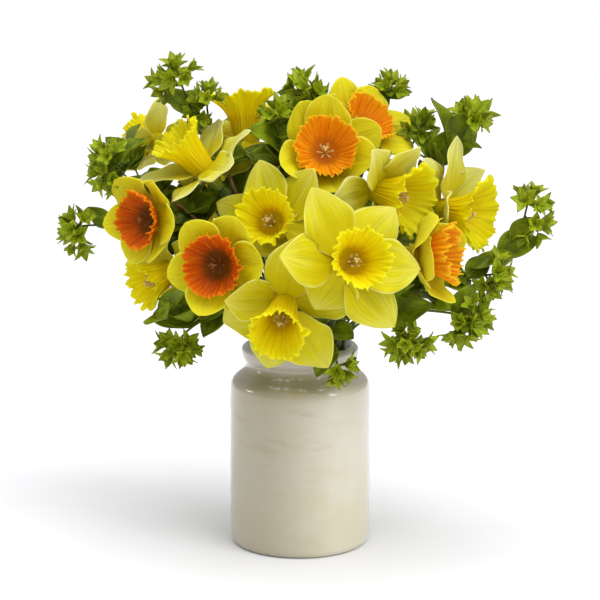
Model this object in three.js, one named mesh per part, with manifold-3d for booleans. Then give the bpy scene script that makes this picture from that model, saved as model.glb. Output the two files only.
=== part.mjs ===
// A bouquet of daffodils and leafy greenery, standing in water in a glazed stoneware jar.
// Millimetres, +Z up. The origin is the centre of the jar's flat base; -Y is the front.
import * as THREE from "three";
import { mergeVertices } from "three/addons/utils/BufferGeometryUtils.js";
import Module from "manifold-3d";

const wasm = await Module();
wasm.setup();

// Driving dimensions of the jar and its water
const JAR_HEIGHT = 146;
const JAR_RADIUS = 51;
const JAR_WALL = 5;
const JAR_FLOOR = 7;
const BASE_ROUND = 5;
const SHOULDER_TOP = 129;
const SHOULDER_BOTTOM = 114;
const NECK_RADIUS = 39.5;
const NECK_HEIGHT = 133.5;
const LIP_RADIUS = 42.5;
const LIP_ROUND = 4;
const SHOULDER_PULL = 11;
const NECK_PULL_DOWN = 4;
const INNER_SHOULDER = { start: -6, pull: 6, neck: -6 };
const LIP_SPREAD = 3;
const MOUTH_DROP = 2;
const JAR_SIDES = 18;
const JAR_ARC_STEPS = 2;
const WATER_LEVEL = 98;
const CLEAR = 0.3;

// Driving dimensions of the stems
const STEM_RADIUS = 2.7;
const TWIG_RADIUS = 1.15;
const STEM_FOOT = 10;
const NECK_EXIT = 138;
const OVARY_RADIUS = 4.2;
const OVARY_LENGTH = 11;
const STEM_STEPS = 5;
const RISE = 50;
const NECK_PULL = 32;
const SHEATH_PLACE = 0.8;
const SHEATH_LENGTH = 28;
const SHEATH_WIDTH = 9;
const SHEATH_THICKNESS = 1.6;
const SHEATH_LEAN = 0.35;
const OVARY_BELLY = 0.45;
const STEM_SIDES = 5;
const TWIG_SIDES = 3;
const SHEATH_SIDES = 3;
const SHEATH_BELLY = 0.42;

// Driving dimensions of the greenery
const BRACTS = 5;
const BRACT_LENGTH = 15;
const BRACT_THICKNESS = 1.3;
const BRACT_ROOT = 0.36;
const BRACT_RISE = 5;
const LEAF_WIDTH = 0.33;
const LEAF_THICKNESS = 0.8;
const LEAF_ROOT = 1.2;
const LEAF_BEND = 0.12;
const LEAF_BELLY = 0.8;
const LEAF_CENTRE = new THREE.Vector3(0, 110, 0);
const LONG_LEAF = 30;

// Driving dimensions of the flowers, from the middle of the ring of petals
const TUBE_LENGTH = 18;
const TUBE_RADIUS = 3.4;
const HUB_RADIUS = 9;
const PETAL_ROOT = 5;
const PETAL_LAYER = 1.8;
const PETAL_THICKNESS = 0.9;
const PETAL_WAVE = 2.4;
const PETAL_NARROW = 0.06;
const PETAL_WAVES = 4;
const PETAL_PHASE = 2.1;
const BACK_FOLD = -0.35;
const STAR = { reach: 50, halfWidth: 16.5, power: 0.92, fullness: 0.85, channel: 2.5, curl: -6 };
const ROUND = { reach: 36, halfWidth: 15, power: 1, fullness: 0.6, channel: 2.2, curl: 6 };
const HUB_FRONT = -0.5;
const FLOOR = 3;
const TRUMPET_FLOOR = 12;
const TRUMPET_LENGTH = 35;
const TRUMPET_RADIUS = 19.5;
const TRUMPET_FOOT = 8.4;
const WAIST = 4.6;
const WAIST_PLACE = 0.62;
const WAIST_FLARE = 0.19;
const THROAT_RADIUS = 1.6;
const CUP_DEPTH = 14;
const CUP_RADIUS = 20;
const CUP_SHOULDER = [0.7, 0.55];
const CUP_INSET = 2;
const CUP_BOTTOM = 1.1;
const SHEET = 0.9;
const ON_AXIS = 0.01;
const COLUMNS = 12;
const LOBES = 6;
const FRILL_SPREAD = 0.08;
const FRILL_DIP = 1.4;
const STAMEN_SPREAD = 3.6;
const STAMEN_HEIGHT = 20;
const STAMEN_NOTCH = 2;
const STAMEN_WAVE = 0.3;
const CUP_STAMEN_HEIGHT = 10;
const RIM_RISE = 0.6;
const FRILL_START = 0.5;
const HUB_SIDES = 8;

// Steps and tolerances of the meshes
const BLADE_COLUMNS = 2;
const SHORT_ROWS = 2;
const LONG_ROWS = 3;
const SAME_CORNER = 1e-4;
const NO_WIDTH = 1e-8;
const SLOPE_STEP = 0.01;

// Colours of the pieces
const GLAZE = { color: 0xcfc8b4, roughness: 0.25, metalness: 0 };
const WATER = { color: 0xcfe0dc, roughness: 0.05, metalness: 0 };
const YELLOW = { color: 0xe8d31e, roughness: 0.6, metalness: 0 };
const ORANGE = { color: 0xf06a12, roughness: 0.6, metalness: 0 };
const STALK_GREEN = { color: 0x6f8f35, roughness: 0.6, metalness: 0 };
const LEAF_GREEN = { color: 0x3f7a22, roughness: 0.6, metalness: 0 };

// The flowers. hub is the middle of the ring of petals. face is the way it looks: azimuth from the
// front towards +X, then elevation. stand is the azimuth and radius of its stem in the neck. petals
// are the angle from the flower's top, clockwise as seen from its front, the lift towards the front,
// and the share of the full length. bell widens the rim of a trumpet or cup, deep lengthens it, and
// waist widens the middle of a trumpet. curl bends the petals forwards, in degrees over their length.
// rows are the steps along a petal, fewer where it is seen from afar.
const FLOWERS = [
  { name: "far_left", kind: "trumpet", hub: [-106, 48, 286], face: [-135, 20], size: 0.68, stand: [-124, 25],
    rows: 2, petals: [[-3, 14], [78, 8], [136, 14], [-171, 44], [-118, 8], [-62, 16]] },
  { name: "top_left", kind: "trumpet", hub: [-39, 36, 288], face: [-150, 80], size: 0.92, stand: [-150, 12],
    rows: 2, bell: 1.25, deep: 1.1,
    petals: [[0, -38], [54, -34], [120, 20], [180, 45], [240, 45], [300, 6]] },
  { name: "upper_left", kind: "trumpet", hub: [-67, -15, 273], face: [-66, 48], size: 0.95, stand: [-84, 12],
    rows: 2, petals: [[-30, 20, 0.92], [36, 20], [86, 4], [140, 20], [-154, 36], [-92, 8, 0.85]] },
  { name: "left", kind: "cup", hub: [-101, -36, 241], face: [-45, 3], size: 1, stand: [-64, 25],
    petals: [[-42, 14, 1.05], [30, 26], [88, 14], [143, 24], [-156, 18], [-98, 28, 1.1]] },
  { name: "front_left", kind: "cup", hub: [-53, -78, 216], face: [-21, 4], size: 1.05, stand: [-38, 25],
    petals: [[-36, 22], [22, 17], [84, 14], [146, 4, 0.92], [-167, 22], [-108, 12]] },
  { name: "centre", kind: "trumpet", hub: [-16, -54, 237], face: [-15, 22], size: 0.98, stand: [-18, 13],
    petals: [[-21, 13], [32, 22], [95, -10], [155, -25, 0.65], [-118, -8, 0.48], [-70, 4]] },
  { name: "top", kind: "cup", hub: [17, -24, 285], face: [3, 24], size: 1.1, stand: [0, 0],
    petals: [[8, 12], [70, 8, 1.1], [111, 24], [167, 28], [-112, 24], [-30, 10]] },
  { name: "top_right", kind: "cup", hub: [41, 20, 298], face: [46, 38], size: 1.08, stand: [110, 12],
    rows: 2, bell: 0.92,
    petals: [[-62, 12], [-3, 16, 1.1], [50, 20], [96, 30, 1.1], [135, 22, 1.1], [-150, 10]] },
  { name: "upper_right", kind: "trumpet", hub: [54, -32, 260], face: [54, -8], size: 0.9, stand: [52, 13],
    bell: 1.35, deep: 1.04, waist: 2.4,
    petals: [[-42, 20], [12, 44], [66, 10], [124, 14, 0.85], [-160, 20, 0.9], [-97, -4]] },
  { name: "far_right", kind: "trumpet", hub: [102, 0, 243], face: [60, -4], size: 0.96, stand: [88, 25],
    rows: 2, bell: 1.35, deep: 0.92, waist: 1.5,
    petals: [[2, 8, 1.12], [54, 22], [115, 12], [-178, 28], [-84, 34], [-34, 4]] },
  { name: "right", kind: "cup", hub: [80, -68, 221], face: [72, 4], size: 1.05, stand: [58, 25],
    bell: 0.94, deep: 1.45, curl: 26,
    petals: [[-92, 16, 0.78], [-36, 14], [-4, 14, 0.8], [78, 30, 1.1], [172, 8, 1.05], [-140, 8, 0.75]] },
  { name: "front_right", kind: "trumpet", hub: [29, -104, 220], face: [18, 15], size: 1.12, stand: [22, 25],
    bell: 0.88, deep: 0.92,
    petals: [[-24, 20], [46, 0], [97, 8, 0.94], [143, -6], [206, -35, 0.7], [-82, 34]] },
  { name: "front_low", kind: "trumpet", hub: [-10, -86, 191], face: [-9, -24], size: 1.1, stand: [-8, 25],
    bell: 0.86, petals: [[13, 6], [84, 4], [148, 15], [-165, 14], [-116, -10], [-70, 36, 0.8]] },
  { name: "low_left", kind: "trumpet", hub: [-91, -8, 201], face: [-52, -18], size: 0.82, stand: [-88, 25],
    rows: 2, bell: 1.1,
    petals: [[0, 6, 0.8], [60, 6], [125, 6], [180, 2, 0.8], [-128, 16, 0.8], [-76, 36]] },
  { name: "back_left", kind: "trumpet", hub: [-60, 80, 234], face: [-145, 15], size: 0.95, stand: [-142, 25],
    rows: 2 },
  { name: "back", kind: "cup", hub: [5, 84, 265], face: [175, 25], size: 1, stand: [178, 25], rows: 2 },
  { name: "back_right", kind: "trumpet", hub: [66, 76, 225], face: [138, 5], size: 0.95, stand: [136, 25],
    rows: 2 },
];
const EVEN_PETALS = [[0, 6], [60, 6], [120, 6], [180, 6], [240, 6], [300, 6]];

// The sprays of greenery. tip is the end of the twig and arch the point that pulls it there.
// stars are whorls of bracts: place on the twig, facing azimuth and elevation, size and stalk.
// leaves are: place on the twig, azimuth and elevation of the blade, and its length.
const SPRAYS = [
  { name: "top_left_tall", stand: [-104, 18.5], arch: [-76, 42, 292], tip: [-86, 10, 338],
    stars: [[1, -30, 60, 1, 0], [0.95, -100, 0, 0.9, 9]], leaves: [[0.84, -75, 40, 25]] },
  { name: "top_left_short", stand: [-128, 18.5], arch: [-70, 46, 280], tip: [-66, 8, 320],
    stars: [[1, -30, 75, 0.9, 0], [0.92, -60, 10, 0.8, 7]], leaves: [[0.9, -20, 10, 20]] },
  { name: "left_upper", stand: [-76, 31.8], arch: [-112, -6, 250], tip: [-133, -16, 282],
    stars: [[1, -50, 60, 0.9, 0], [0.92, -60, -30, 0.9, 8]], leaves: [[0.94, 60, 50, 28]] },
  { name: "far_left", stand: [-98, 31.8], arch: [-115, 34, 235], tip: [-157, -4, 232],
    stars: [[1, -70, 50, 0.95, 0], [0.97, -60, -55, 0.95, 9]], leaves: [[0.86, -80, 45, 20]] },
  { name: "top_centre", stand: [-160, 5.5], arch: [2, 22, 300], tip: [3, 22, 324],
    stars: [[1, -20, 60, 1.1, 0], [0.93, 40, 30, 1, 7]], leaves: [[0.9, -70, 35, 22]] },
  { name: "top_right_back", stand: [150, 18.5], arch: [60, 52, 290], tip: [66, 50, 324],
    stars: [[1, 10, 70, 0.9, 0]], leaves: [[0.96, 90, 20, 18], [0.9, -80, 60, 22]] },
  { name: "top_right_short", stand: [96, 18.5], arch: [78, 34, 270], tip: [86, 32, 298],
    stars: [[1, 30, 60, 0.9, 0]], leaves: [[0.7, -60, 30, 24]] },
  { name: "right_tall", stand: [104, 31.8], arch: [108, 34, 268], tip: [122, 12, 306],
    stars: [[1, 50, 40, 1.1, 0]], leaves: [[0.82, -90, 76, 42], [0.81, 90, 74, 42], [0.86, 80, 0, 18]] },
  { name: "far_right", stand: [78, 30], arch: [152, -6, 178], tip: [161, -8, 248],
    stars: [[1, 60, 60, 1, 0], [0.96, 70, -45, 0.95, 8]], leaves: [[0.86, 60, 40, 26]] },
  { name: "right_mid", stand: [68, 31.8], arch: [118, -14, 196], tip: [136, -20, 200],
    stars: [[1, 60, 20, 1, 0], [0.93, 20, -40, 0.9, 7]], leaves: [[0.8, 110, 40, 24]] },
  { name: "right_low", stand: [48, 31.8], arch: [98, -34, 176], tip: [120, -32, 172],
    stars: [[1, 40, 0, 1, 0], [0.9, 20, -50, 1, 8]], leaves: [[0.86, 60, 55, 26]] },
  { name: "front_right_low", stand: [34, 31.8], arch: [64, -52, 176], tip: [76, -52, 158],
    stars: [[1, 40, -50, 1, 0], [0.9, 0, -10, 0.9, 8]], leaves: [[0.7, 80, 25, 36]] },
  { name: "low_left", stand: [-72, 31.8], arch: [-76, -26, 172], tip: [-88, -26, 150],
    stars: [[1, -40, -40, 1, 0], [0.9, 10, -30, 0.9, 10]], leaves: [[0.7, -90, 5, 34], [0.5, -30, -20, 28]] },
  { name: "lip", stand: [10, 31.8], arch: [20, -52, 165], tip: [26, -56, 142],
    stars: [[1, 60, -40, 0.9, 0]], leaves: [[0.8, -30, -40, 26]] },
  { name: "inner", stand: [-70, 5.5], arch: [-14, 2, 290], tip: [-17, -2, 310],
    stars: [[1, -10, 60, 0.9, 0]], leaves: [[0.85, 60, 20, 20], [0.75, -60, 10, 24]] },
  { name: "back_left", stand: [-168, 31.8], arch: [-34, 100, 270], tip: [-40, 104, 300],
    stars: [[1, -150, 50, 1.1, 0]], leaves: [[0.8, -120, 20, 28]] },
  { name: "back_right", stand: [152, 31.8], arch: [40, 70, 300], tip: [86, 70, 290],
    stars: [[1, 130, 40, 1.1, 0]], leaves: [[0.8, 100, 30, 28]] },
];

// A named mesh of its own material
function piece(name, finish, solid) {
  const mesh = new THREE.Mesh(geometryOf(solid), new THREE.MeshStandardMaterial(finish));
  mesh.name = name;
  return mesh;
}

// A closed geometry as a solid, with shared corners merged and empty triangles dropped
function solidOf(geometry) {
  const bare = geometry.clone();
  bare.deleteAttribute("normal");
  bare.deleteAttribute("uv");
  const merged = mergeVertices(bare, SAME_CORNER);
  const corners = merged.index.array;
  const kept = [];
  for (let i = 0; i < corners.length; i += 3) {
    const [a, b, c] = corners.slice(i, i + 3);
    if (a !== b && b !== c && c !== a) kept.push(a, b, c);
  }
  const vertProperties = new Float32Array(merged.attributes.position.array);
  return new wasm.Manifold(new wasm.Mesh({ numProp: 3, vertProperties, triVerts: new Uint32Array(kept) }));
}

function geometryOf(solid) {
  const mesh = solid.getMesh();
  const geometry = new THREE.BufferGeometry();
  geometry.setAttribute("position", new THREE.BufferAttribute(mesh.vertProperties, 3));
  geometry.setIndex(new THREE.BufferAttribute(mesh.triVerts, 1));
  geometry.computeVertexNormals();
  return geometry;
}

function fused(solids) {
  return solids.reduce((whole, next) => whole.add(next));
}

// The point at an azimuth and radius in the jar's neck
function inNeck([azimuth, radius], height) {
  const turn = THREE.MathUtils.degToRad(azimuth);
  return new THREE.Vector3(radius * Math.sin(turn), -radius * Math.cos(turn), height);
}

// The unit vector of an azimuth and elevation
function heading(azimuth, elevation) {
  const turn = THREE.MathUtils.degToRad(azimuth);
  const rise = THREE.MathUtils.degToRad(elevation);
  return new THREE.Vector3(
    Math.sin(turn) * Math.cos(rise), -Math.cos(turn) * Math.cos(rise), Math.sin(rise));
}

// The turn that looks along a heading: its z axis is the heading and its y axis is as upright as can be
function lookingAlong(forward) {
  const up = new THREE.Vector3(0, 0, 1).addScaledVector(forward, -forward.z).normalize();
  const right = new THREE.Vector3().crossVectors(up, forward);
  return new THREE.Matrix4().makeBasis(right, up, forward);
}

// A surface of revolution about z. reshape moves each point off the axis by its angle.
function revolved(profile, sides, reshape = null) {
  const lathe = new THREE.LatheGeometry(profile, sides);
  lathe.rotateX(Math.PI / 2);
  if (reshape) {
    const position = lathe.attributes.position;
    const point = new THREE.Vector3();
    for (let i = 0; i < position.count; i += 1) {
      point.fromBufferAttribute(position, i);
      if (Math.hypot(point.x, point.y) < ON_AXIS) continue;
      const column = Math.floor(i / profile.length);
      reshape(point, (2 * Math.PI * column) / sides);
      position.setXYZ(i, point.x, point.y, point.z);
    }
  }
  return lathe;
}

function turned(profile, sides, reshape = null) {
  return solidOf(revolved(profile, sides, reshape));
}

function outline(points) {
  return points.map(([radius, height]) => new THREE.Vector2(radius, height));
}

// A thin curved blade. surface gives the point of the middle sheet at u, from -1 to 1 across, and
// v, from 0 at the root to 1 at the tip. Both faces are split into the same triangles.
function blade(rows, thickness, surface) {
  const sheet = new THREE.PlaneGeometry(2, 1, BLADE_COLUMNS, rows);
  const at = sheet.attributes.position;
  const count = at.count;
  const places = new Float32Array(count * 6);
  for (let i = 0; i < count; i += 1) {
    const u = at.getX(i);
    const v = at.getY(i) + 0.5;
    const middle = surface(u, v);
    const across = surface(SLOPE_STEP, v).sub(surface(-SLOPE_STEP, v));
    const along = surface(0, Math.min(1, v + SLOPE_STEP)).sub(surface(0, Math.max(0, v - SLOPE_STEP)));
    if (across.lengthSq() < NO_WIDTH) across.copy(surface(0.5, 0.5)).sub(surface(-0.5, 0.5));
    const out = across.cross(along).normalize().multiplyScalar(thickness / 2);
    places.set(middle.clone().add(out).toArray(), i * 3);
    places.set(middle.clone().sub(out).toArray(), (count + i) * 3);
  }
  const faces = [];
  const front = sheet.index.array;
  for (let i = 0; i < front.length; i += 3) {
    faces.push(front[i], front[i + 1], front[i + 2]);
    faces.push(count + front[i + 2], count + front[i + 1], count + front[i]);
  }
  const wide = BLADE_COLUMNS + 1;
  const rim = [];
  for (let i = 0; i < BLADE_COLUMNS; i += 1) rim.push([i + 1, i]);
  for (let j = 0; j < rows; j += 1) rim.push([j * wide, (j + 1) * wide]);
  for (let i = 0; i < BLADE_COLUMNS; i += 1) rim.push([rows * wide + i, rows * wide + i + 1]);
  for (let j = rows; j > 0; j -= 1) rim.push([(j + 1) * wide - 1, j * wide - 1]);
  for (const [a, b] of rim) {
    faces.push(a, count + a, b);
    faces.push(b, count + a, count + b);
  }
  const body = new THREE.BufferGeometry();
  body.setAttribute("position", new THREE.BufferAttribute(places, 3));
  body.setIndex(faces);
  return solidOf(body);
}

// The half width of a petal along its length, narrow at its root and drawn to a point at its tip
function petalWidth(form, v) {
  const belly = Math.sin(Math.PI * v ** form.power) ** form.fullness;
  return v < 1 ? form.halfWidth * (PETAL_NARROW + (1 - PETAL_NARROW) * belly) : 0;
}

// One petal, from its root in the hub outwards. turn is its angle from the flower's top.
function petal(form, { size, rows = LONG_ROWS, curl = form.curl }, index, [turn, lift, share = 1]) {
  const angle = THREE.MathUtils.degToRad(turn);
  const front = index % 2 === 0;
  const layer = front ? PETAL_LAYER : -PETAL_LAYER;
  const length = form.reach * size * share - PETAL_ROOT;
  const phase = PETAL_PHASE * index;
  const surface = (u, v) => {
    const tilt = THREE.MathUtils.degToRad(lift + curl * v);
    const side = petalWidth(form, v) * size * u;
    const radius = PETAL_ROOT + length * v * Math.cos(tilt);
    const fold = (front ? 1 : BACK_FOLD) * form.channel * u * u * Math.sin(Math.PI * v);
    const wave = PETAL_WAVE * u * Math.sin(PETAL_WAVES * v + phase) * v * (1 - v);
    const height = layer + length * v * Math.sin(tilt) + fold + wave;
    return new THREE.Vector3(
      side * Math.cos(angle) + radius * Math.sin(angle),
      -side * Math.sin(angle) + radius * Math.cos(angle),
      height);
  };
  return blade(rows, PETAL_THICKNESS, surface);
}

// The six petals, three in front of three. Without angles of their own they stand evenly.
function petals(form, flower) {
  return (flower.petals ?? EVEN_PETALS).map((pair, index) => petal(form, flower, index, pair));
}

// The lobes at a rim, which grow towards it: outwards, and back and forth along the flower's axis
function frill(point, angle, from, to) {
  const lobe = Math.cos(LOBES * angle) * Math.max(0, (point.z - from) / (to - from)) ** 2;
  point.x *= 1 + FRILL_SPREAD * lobe;
  point.y *= 1 + FRILL_SPREAD * lobe;
  point.z += FRILL_DIP * lobe;
}

// The stamens round the style: the ring at the stamens' height is drawn in between them
function stamens(point, angle) {
  if (Math.hypot(point.x, point.y) > STAMEN_SPREAD + ON_AXIS) return;
  const share = 1 - STAMEN_WAVE * (1 - Math.cos(LOBES * angle));
  point.x *= share;
  point.y *= share;
}

function trumpetFlower(flower) {
  const { size, bell = 1, deep = 1 } = flower;
  const length = TRUMPET_LENGTH * size * deep;
  const rim = TRUMPET_RADIUS * size * bell;
  const swell = WAIST * size * (flower.waist ?? 1);
  const waist = TRUMPET_FOOT + swell * WAIST_PLACE + (rim - TRUMPET_FOOT - swell) * WAIST_FLARE;
  const bend = WAIST_PLACE * length;
  const core = turned(outline([
    [0, -TUBE_LENGTH], [TUBE_RADIUS, -TUBE_LENGTH], [HUB_RADIUS, HUB_FRONT], [waist, bend],
    [rim, length], [rim - SHEET, length + RIM_RISE], [waist - SHEET, bend + RIM_RISE],
    [THROAT_RADIUS, TRUMPET_FLOOR], [STAMEN_SPREAD, STAMEN_HEIGHT], [0, STAMEN_HEIGHT - STAMEN_NOTCH],
  ]), COLUMNS, (point, angle) => {
    stamens(point, angle);
    frill(point, angle, FRILL_START * length, length);
  });
  return fused([core, ...petals(STAR, flower)]);
}

function cupPerianth(flower) {
  const hub = turned(outline([
    [0, -TUBE_LENGTH], [TUBE_RADIUS, -TUBE_LENGTH], [HUB_RADIUS, HUB_FRONT], [HUB_RADIUS, FLOOR + HUB_FRONT],
    [0, FLOOR],
  ]), HUB_SIDES);
  return fused([hub, ...petals(ROUND, flower)]);
}

// The orange cup, pleated to its rim, with the star of stamens that stands in it
function cup({ size, bell = 1, deep = 1 }) {
  const depth = CUP_DEPTH * size * deep;
  const rim = CUP_RADIUS * size * bell;
  const seat = FLOOR + CLEAR;
  const shoulder = CUP_SHOULDER[0] * rim;
  const bend = CUP_SHOULDER[1] * depth + seat;
  return turned(outline([
    [0, seat], [HUB_RADIUS - CUP_INSET, seat], [shoulder, bend], [rim, depth + seat],
    [rim - SHEET, depth + seat + RIM_RISE], [shoulder - SHEET, bend + RIM_RISE],
    [THROAT_RADIUS, seat + CUP_BOTTOM], [STAMEN_SPREAD, seat + CUP_STAMEN_HEIGHT],
    [0, seat + CUP_STAMEN_HEIGHT - STAMEN_NOTCH],
  ]), COLUMNS, (point, angle) => {
    stamens(point, angle);
    frill(point, angle, seat, seat + depth);
  });
}

// A stem: straight from its foot to the neck, then one bend to its end. Its points are evenly
// spaced in the bend alone, so that the straight part is one step.
class StemLine extends THREE.Curve {
  constructor(foot, exit, towards, end, steps) {
    super();
    this.foot = foot;
    this.exit = exit;
    this.steps = steps;
    this.bend = new THREE.CubicBezierCurve3(exit, exit.clone().setZ(exit.z + RISE), towards, end);
  }

  getUtoTmapping(u) {
    return u;
  }

  getPoint(t) {
    const along = t * this.steps;
    if (along <= 1) return this.foot.clone().lerp(this.exit, along);
    return this.bend.getPoint((along - 1) / (this.steps - 1));
  }

  // The point at a share of the bend, on the straight steps that its tube is made of
  onTube(share) {
    const along = share * (this.steps - 1);
    const before = Math.min(Math.floor(along), this.steps - 2);
    const start = this.bend.getPoint(before / (this.steps - 1));
    return start.lerp(this.bend.getPoint((before + 1) / (this.steps - 1)), along - before);
  }
}

// The line of a stem that stands at a place in the neck, is pulled towards a point and ends at another
function stemLine(stand, towards, end) {
  return new StemLine(inNeck(stand, STEM_FOOT), inNeck(stand, NECK_EXIT), towards, end, STEM_STEPS);
}

// A tube along a stem's line
function rod(line, radius, sides) {
  const section = new THREE.Shape();
  for (let i = 0; i < sides; i += 1) {
    const angle = (2 * Math.PI * i) / sides;
    const [x, y] = [radius * Math.cos(angle), radius * Math.sin(angle)];
    if (i === 0) section.moveTo(x, y);
    else section.lineTo(x, y);
  }
  const course = { steps: line.steps, extrudePath: line, bevelEnabled: false };
  return solidOf(new THREE.ExtrudeGeometry(section, course));
}

// The papery sheath, three-sided, its root at the origin and its tip along +Y
function sheath() {
  const profile = outline([
    [0, 0], [SHEATH_WIDTH / Math.sqrt(3), SHEATH_BELLY * SHEATH_LENGTH], [0, SHEATH_LENGTH],
  ]);
  const body = new THREE.LatheGeometry(profile, SHEATH_SIDES);
  body.scale(1, 1, SHEATH_THICKNESS / SHEATH_WIDTH);
  return body;
}

// The placing of something that grows from a point along a heading, its face turned to facing
function growing(point, along, facing) {
  const out = facing.clone().addScaledVector(along, -facing.dot(along)).normalize();
  const side = new THREE.Vector3().crossVectors(along, out);
  return new THREE.Matrix4().makeBasis(side, along, out).setPosition(point);
}

// A flower's stalk with its ovary and the papery sheath at its neck
function stalk(flower) {
  const forward = heading(...flower.face);
  const hub = new THREE.Vector3(...flower.hub);
  const end = hub.clone().addScaledVector(forward, -(TUBE_LENGTH + CLEAR + 0.5 * OVARY_LENGTH));
  const pull = hub.clone().addScaledVector(forward, -(TUBE_LENGTH + NECK_PULL));
  const line = stemLine(flower.stand, pull, end);
  const front = -(TUBE_LENGTH + CLEAR);
  const ovary = new THREE.LatheGeometry(outline([
    [0, front - OVARY_LENGTH], [OVARY_RADIUS, front - OVARY_BELLY * OVARY_LENGTH],
    [TUBE_RADIUS, front], [0, front],
  ]), STEM_SIDES);
  ovary.rotateX(Math.PI / 2);
  ovary.applyMatrix4(lookingAlong(forward).setPosition(hub));
  const neck = line.onTube(SHEATH_PLACE);
  const along = end.clone().sub(neck).normalize();
  const away = new THREE.Vector3(0, 0, 1).addScaledVector(along, -along.z).normalize();
  const paper = sheath();
  paper.applyMatrix4(growing(neck, along.clone().addScaledVector(away, SHEATH_LEAN).normalize(), away));
  return fused([rod(line, STEM_RADIUS, STEM_SIDES), solidOf(ovary), solidOf(paper)]);
}

// A whorl of pointed bracts round a heading, on a stalk of its own where it has one
function whorl(point, [, azimuth, elevation, size, reach]) {
  const axis = heading(azimuth, elevation);
  const centre = point.clone().addScaledVector(axis, reach);
  const plate = outline([[0, -BRACT_THICKNESS], [BRACT_LENGTH, 0], [0, BRACT_THICKNESS]]);
  const star = revolved(plate, 2 * BRACTS, bractShape);
  star.scale(size, size, size);
  star.applyMatrix4(lookingAlong(axis).setPosition(centre));
  if (reach === 0) return [solidOf(star)];
  const twig = new THREE.CylinderGeometry(TWIG_RADIUS, TWIG_RADIUS, reach, TWIG_SIDES);
  twig.translate(0, reach / 2, 0);
  twig.applyMatrix4(growing(point, axis, heading(azimuth, elevation + 90)));
  return [solidOf(star), solidOf(twig)];
}

// Draws the rim of a round plate in to the outline of a star of bracts
function bractShape(point, angle) {
  const share = Math.cos(BRACTS * angle) > 0 ? 1 : BRACT_ROOT;
  point.x *= share;
  point.y *= share;
  point.z += BRACT_RISE * share * share;
}

// An oval leaf with a pointed tip, its face turned outwards and up
function leaf(point, [, azimuth, elevation, length]) {
  const along = heading(azimuth, elevation);
  const facing = point.clone().sub(LEAF_CENTRE).setZ(0).normalize().setZ(1);
  const place = growing(point, along, facing);
  const surface = (u, v) => {
    const belly = Math.sin(Math.PI * v ** LEAF_BELLY) ** LEAF_BELLY;
    const half = LEAF_WIDTH * length * belly + LEAF_ROOT * (1 - v) ** 4;
    const height = LEAF_BEND * length * (u * u * (1 - v) - v * v);
    return new THREE.Vector3(half * u, length * v, height).applyMatrix4(place);
  };
  return blade(length > LONG_LEAF ? LONG_ROWS : SHORT_ROWS, LEAF_THICKNESS, surface);
}

function spray(plan) {
  const line = stemLine(plan.stand, new THREE.Vector3(...plan.arch), new THREE.Vector3(...plan.tip));
  const solids = [rod(line, TWIG_RADIUS, TWIG_SIDES)];
  for (const star of plan.stars) solids.push(...whorl(line.onTube(star[0]), star));
  for (const one of plan.leaves) solids.push(leaf(line.onTube(one[0]), one));
  return fused(solids);
}

// The jar's wall as one closed outline: up the outside, over the lip and down the inside
function jar() {
  const inner = JAR_RADIUS - JAR_WALL;
  const mouth = NECK_RADIUS - JAR_WALL;
  const wall = new THREE.Path();
  wall.moveTo(0, 0);
  wall.lineTo(JAR_RADIUS - BASE_ROUND, 0);
  wall.absarc(JAR_RADIUS - BASE_ROUND, BASE_ROUND, BASE_ROUND, -Math.PI / 2, 0);
  wall.lineTo(JAR_RADIUS, SHOULDER_BOTTOM);
  wall.bezierCurveTo(
    JAR_RADIUS, SHOULDER_BOTTOM + SHOULDER_PULL, NECK_RADIUS, SHOULDER_TOP - NECK_PULL_DOWN,
    NECK_RADIUS, NECK_HEIGHT);
  wall.quadraticCurveTo(LIP_RADIUS, NECK_HEIGHT + LIP_SPREAD, LIP_RADIUS, JAR_HEIGHT - LIP_ROUND);
  wall.absarc(LIP_RADIUS - LIP_ROUND, JAR_HEIGHT - LIP_ROUND, LIP_ROUND, 0, Math.PI / 2);
  wall.quadraticCurveTo(mouth, JAR_HEIGHT - MOUTH_DROP, mouth, NECK_HEIGHT);
  wall.bezierCurveTo(
    mouth, SHOULDER_TOP + INNER_SHOULDER.neck, inner, SHOULDER_BOTTOM + INNER_SHOULDER.pull,
    inner, SHOULDER_BOTTOM + INNER_SHOULDER.start);
  wall.lineTo(inner, JAR_FLOOR);
  wall.lineTo(0, JAR_FLOOR);
  return turned(wall.getPoints(JAR_ARC_STEPS), JAR_SIDES);
}

// The water, with a plain hole for each stem that stands in it
function water() {
  const radius = JAR_RADIUS - JAR_WALL - CLEAR;
  const bottom = JAR_FLOOR + CLEAR;
  const profile = outline([[0, bottom], [radius, bottom], [radius, WATER_LEVEL], [0, WATER_LEVEL]]);
  const body = turned(profile, JAR_SIDES);
  const holes = [];
  for (const { stand } of FLOWERS) holes.push(hole(stand, STEM_RADIUS, STEM_SIDES));
  for (const { stand } of SPRAYS) holes.push(hole(stand, TWIG_RADIUS, TWIG_SIDES));
  return body.subtract(fused(holes));
}

function hole(stand, radius, sides) {
  const bottom = STEM_FOOT - CLEAR;
  const wide = (radius + CLEAR) / Math.cos(Math.PI / sides);
  const bore = new THREE.CylinderGeometry(wide, wide, NECK_EXIT - bottom, sides);
  bore.rotateX(Math.PI / 2);
  bore.translate(0, 0, (NECK_EXIT + bottom) / 2);
  const place = inNeck(stand, 0);
  bore.translate(place.x, place.y, 0);
  return solidOf(bore);
}

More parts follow.
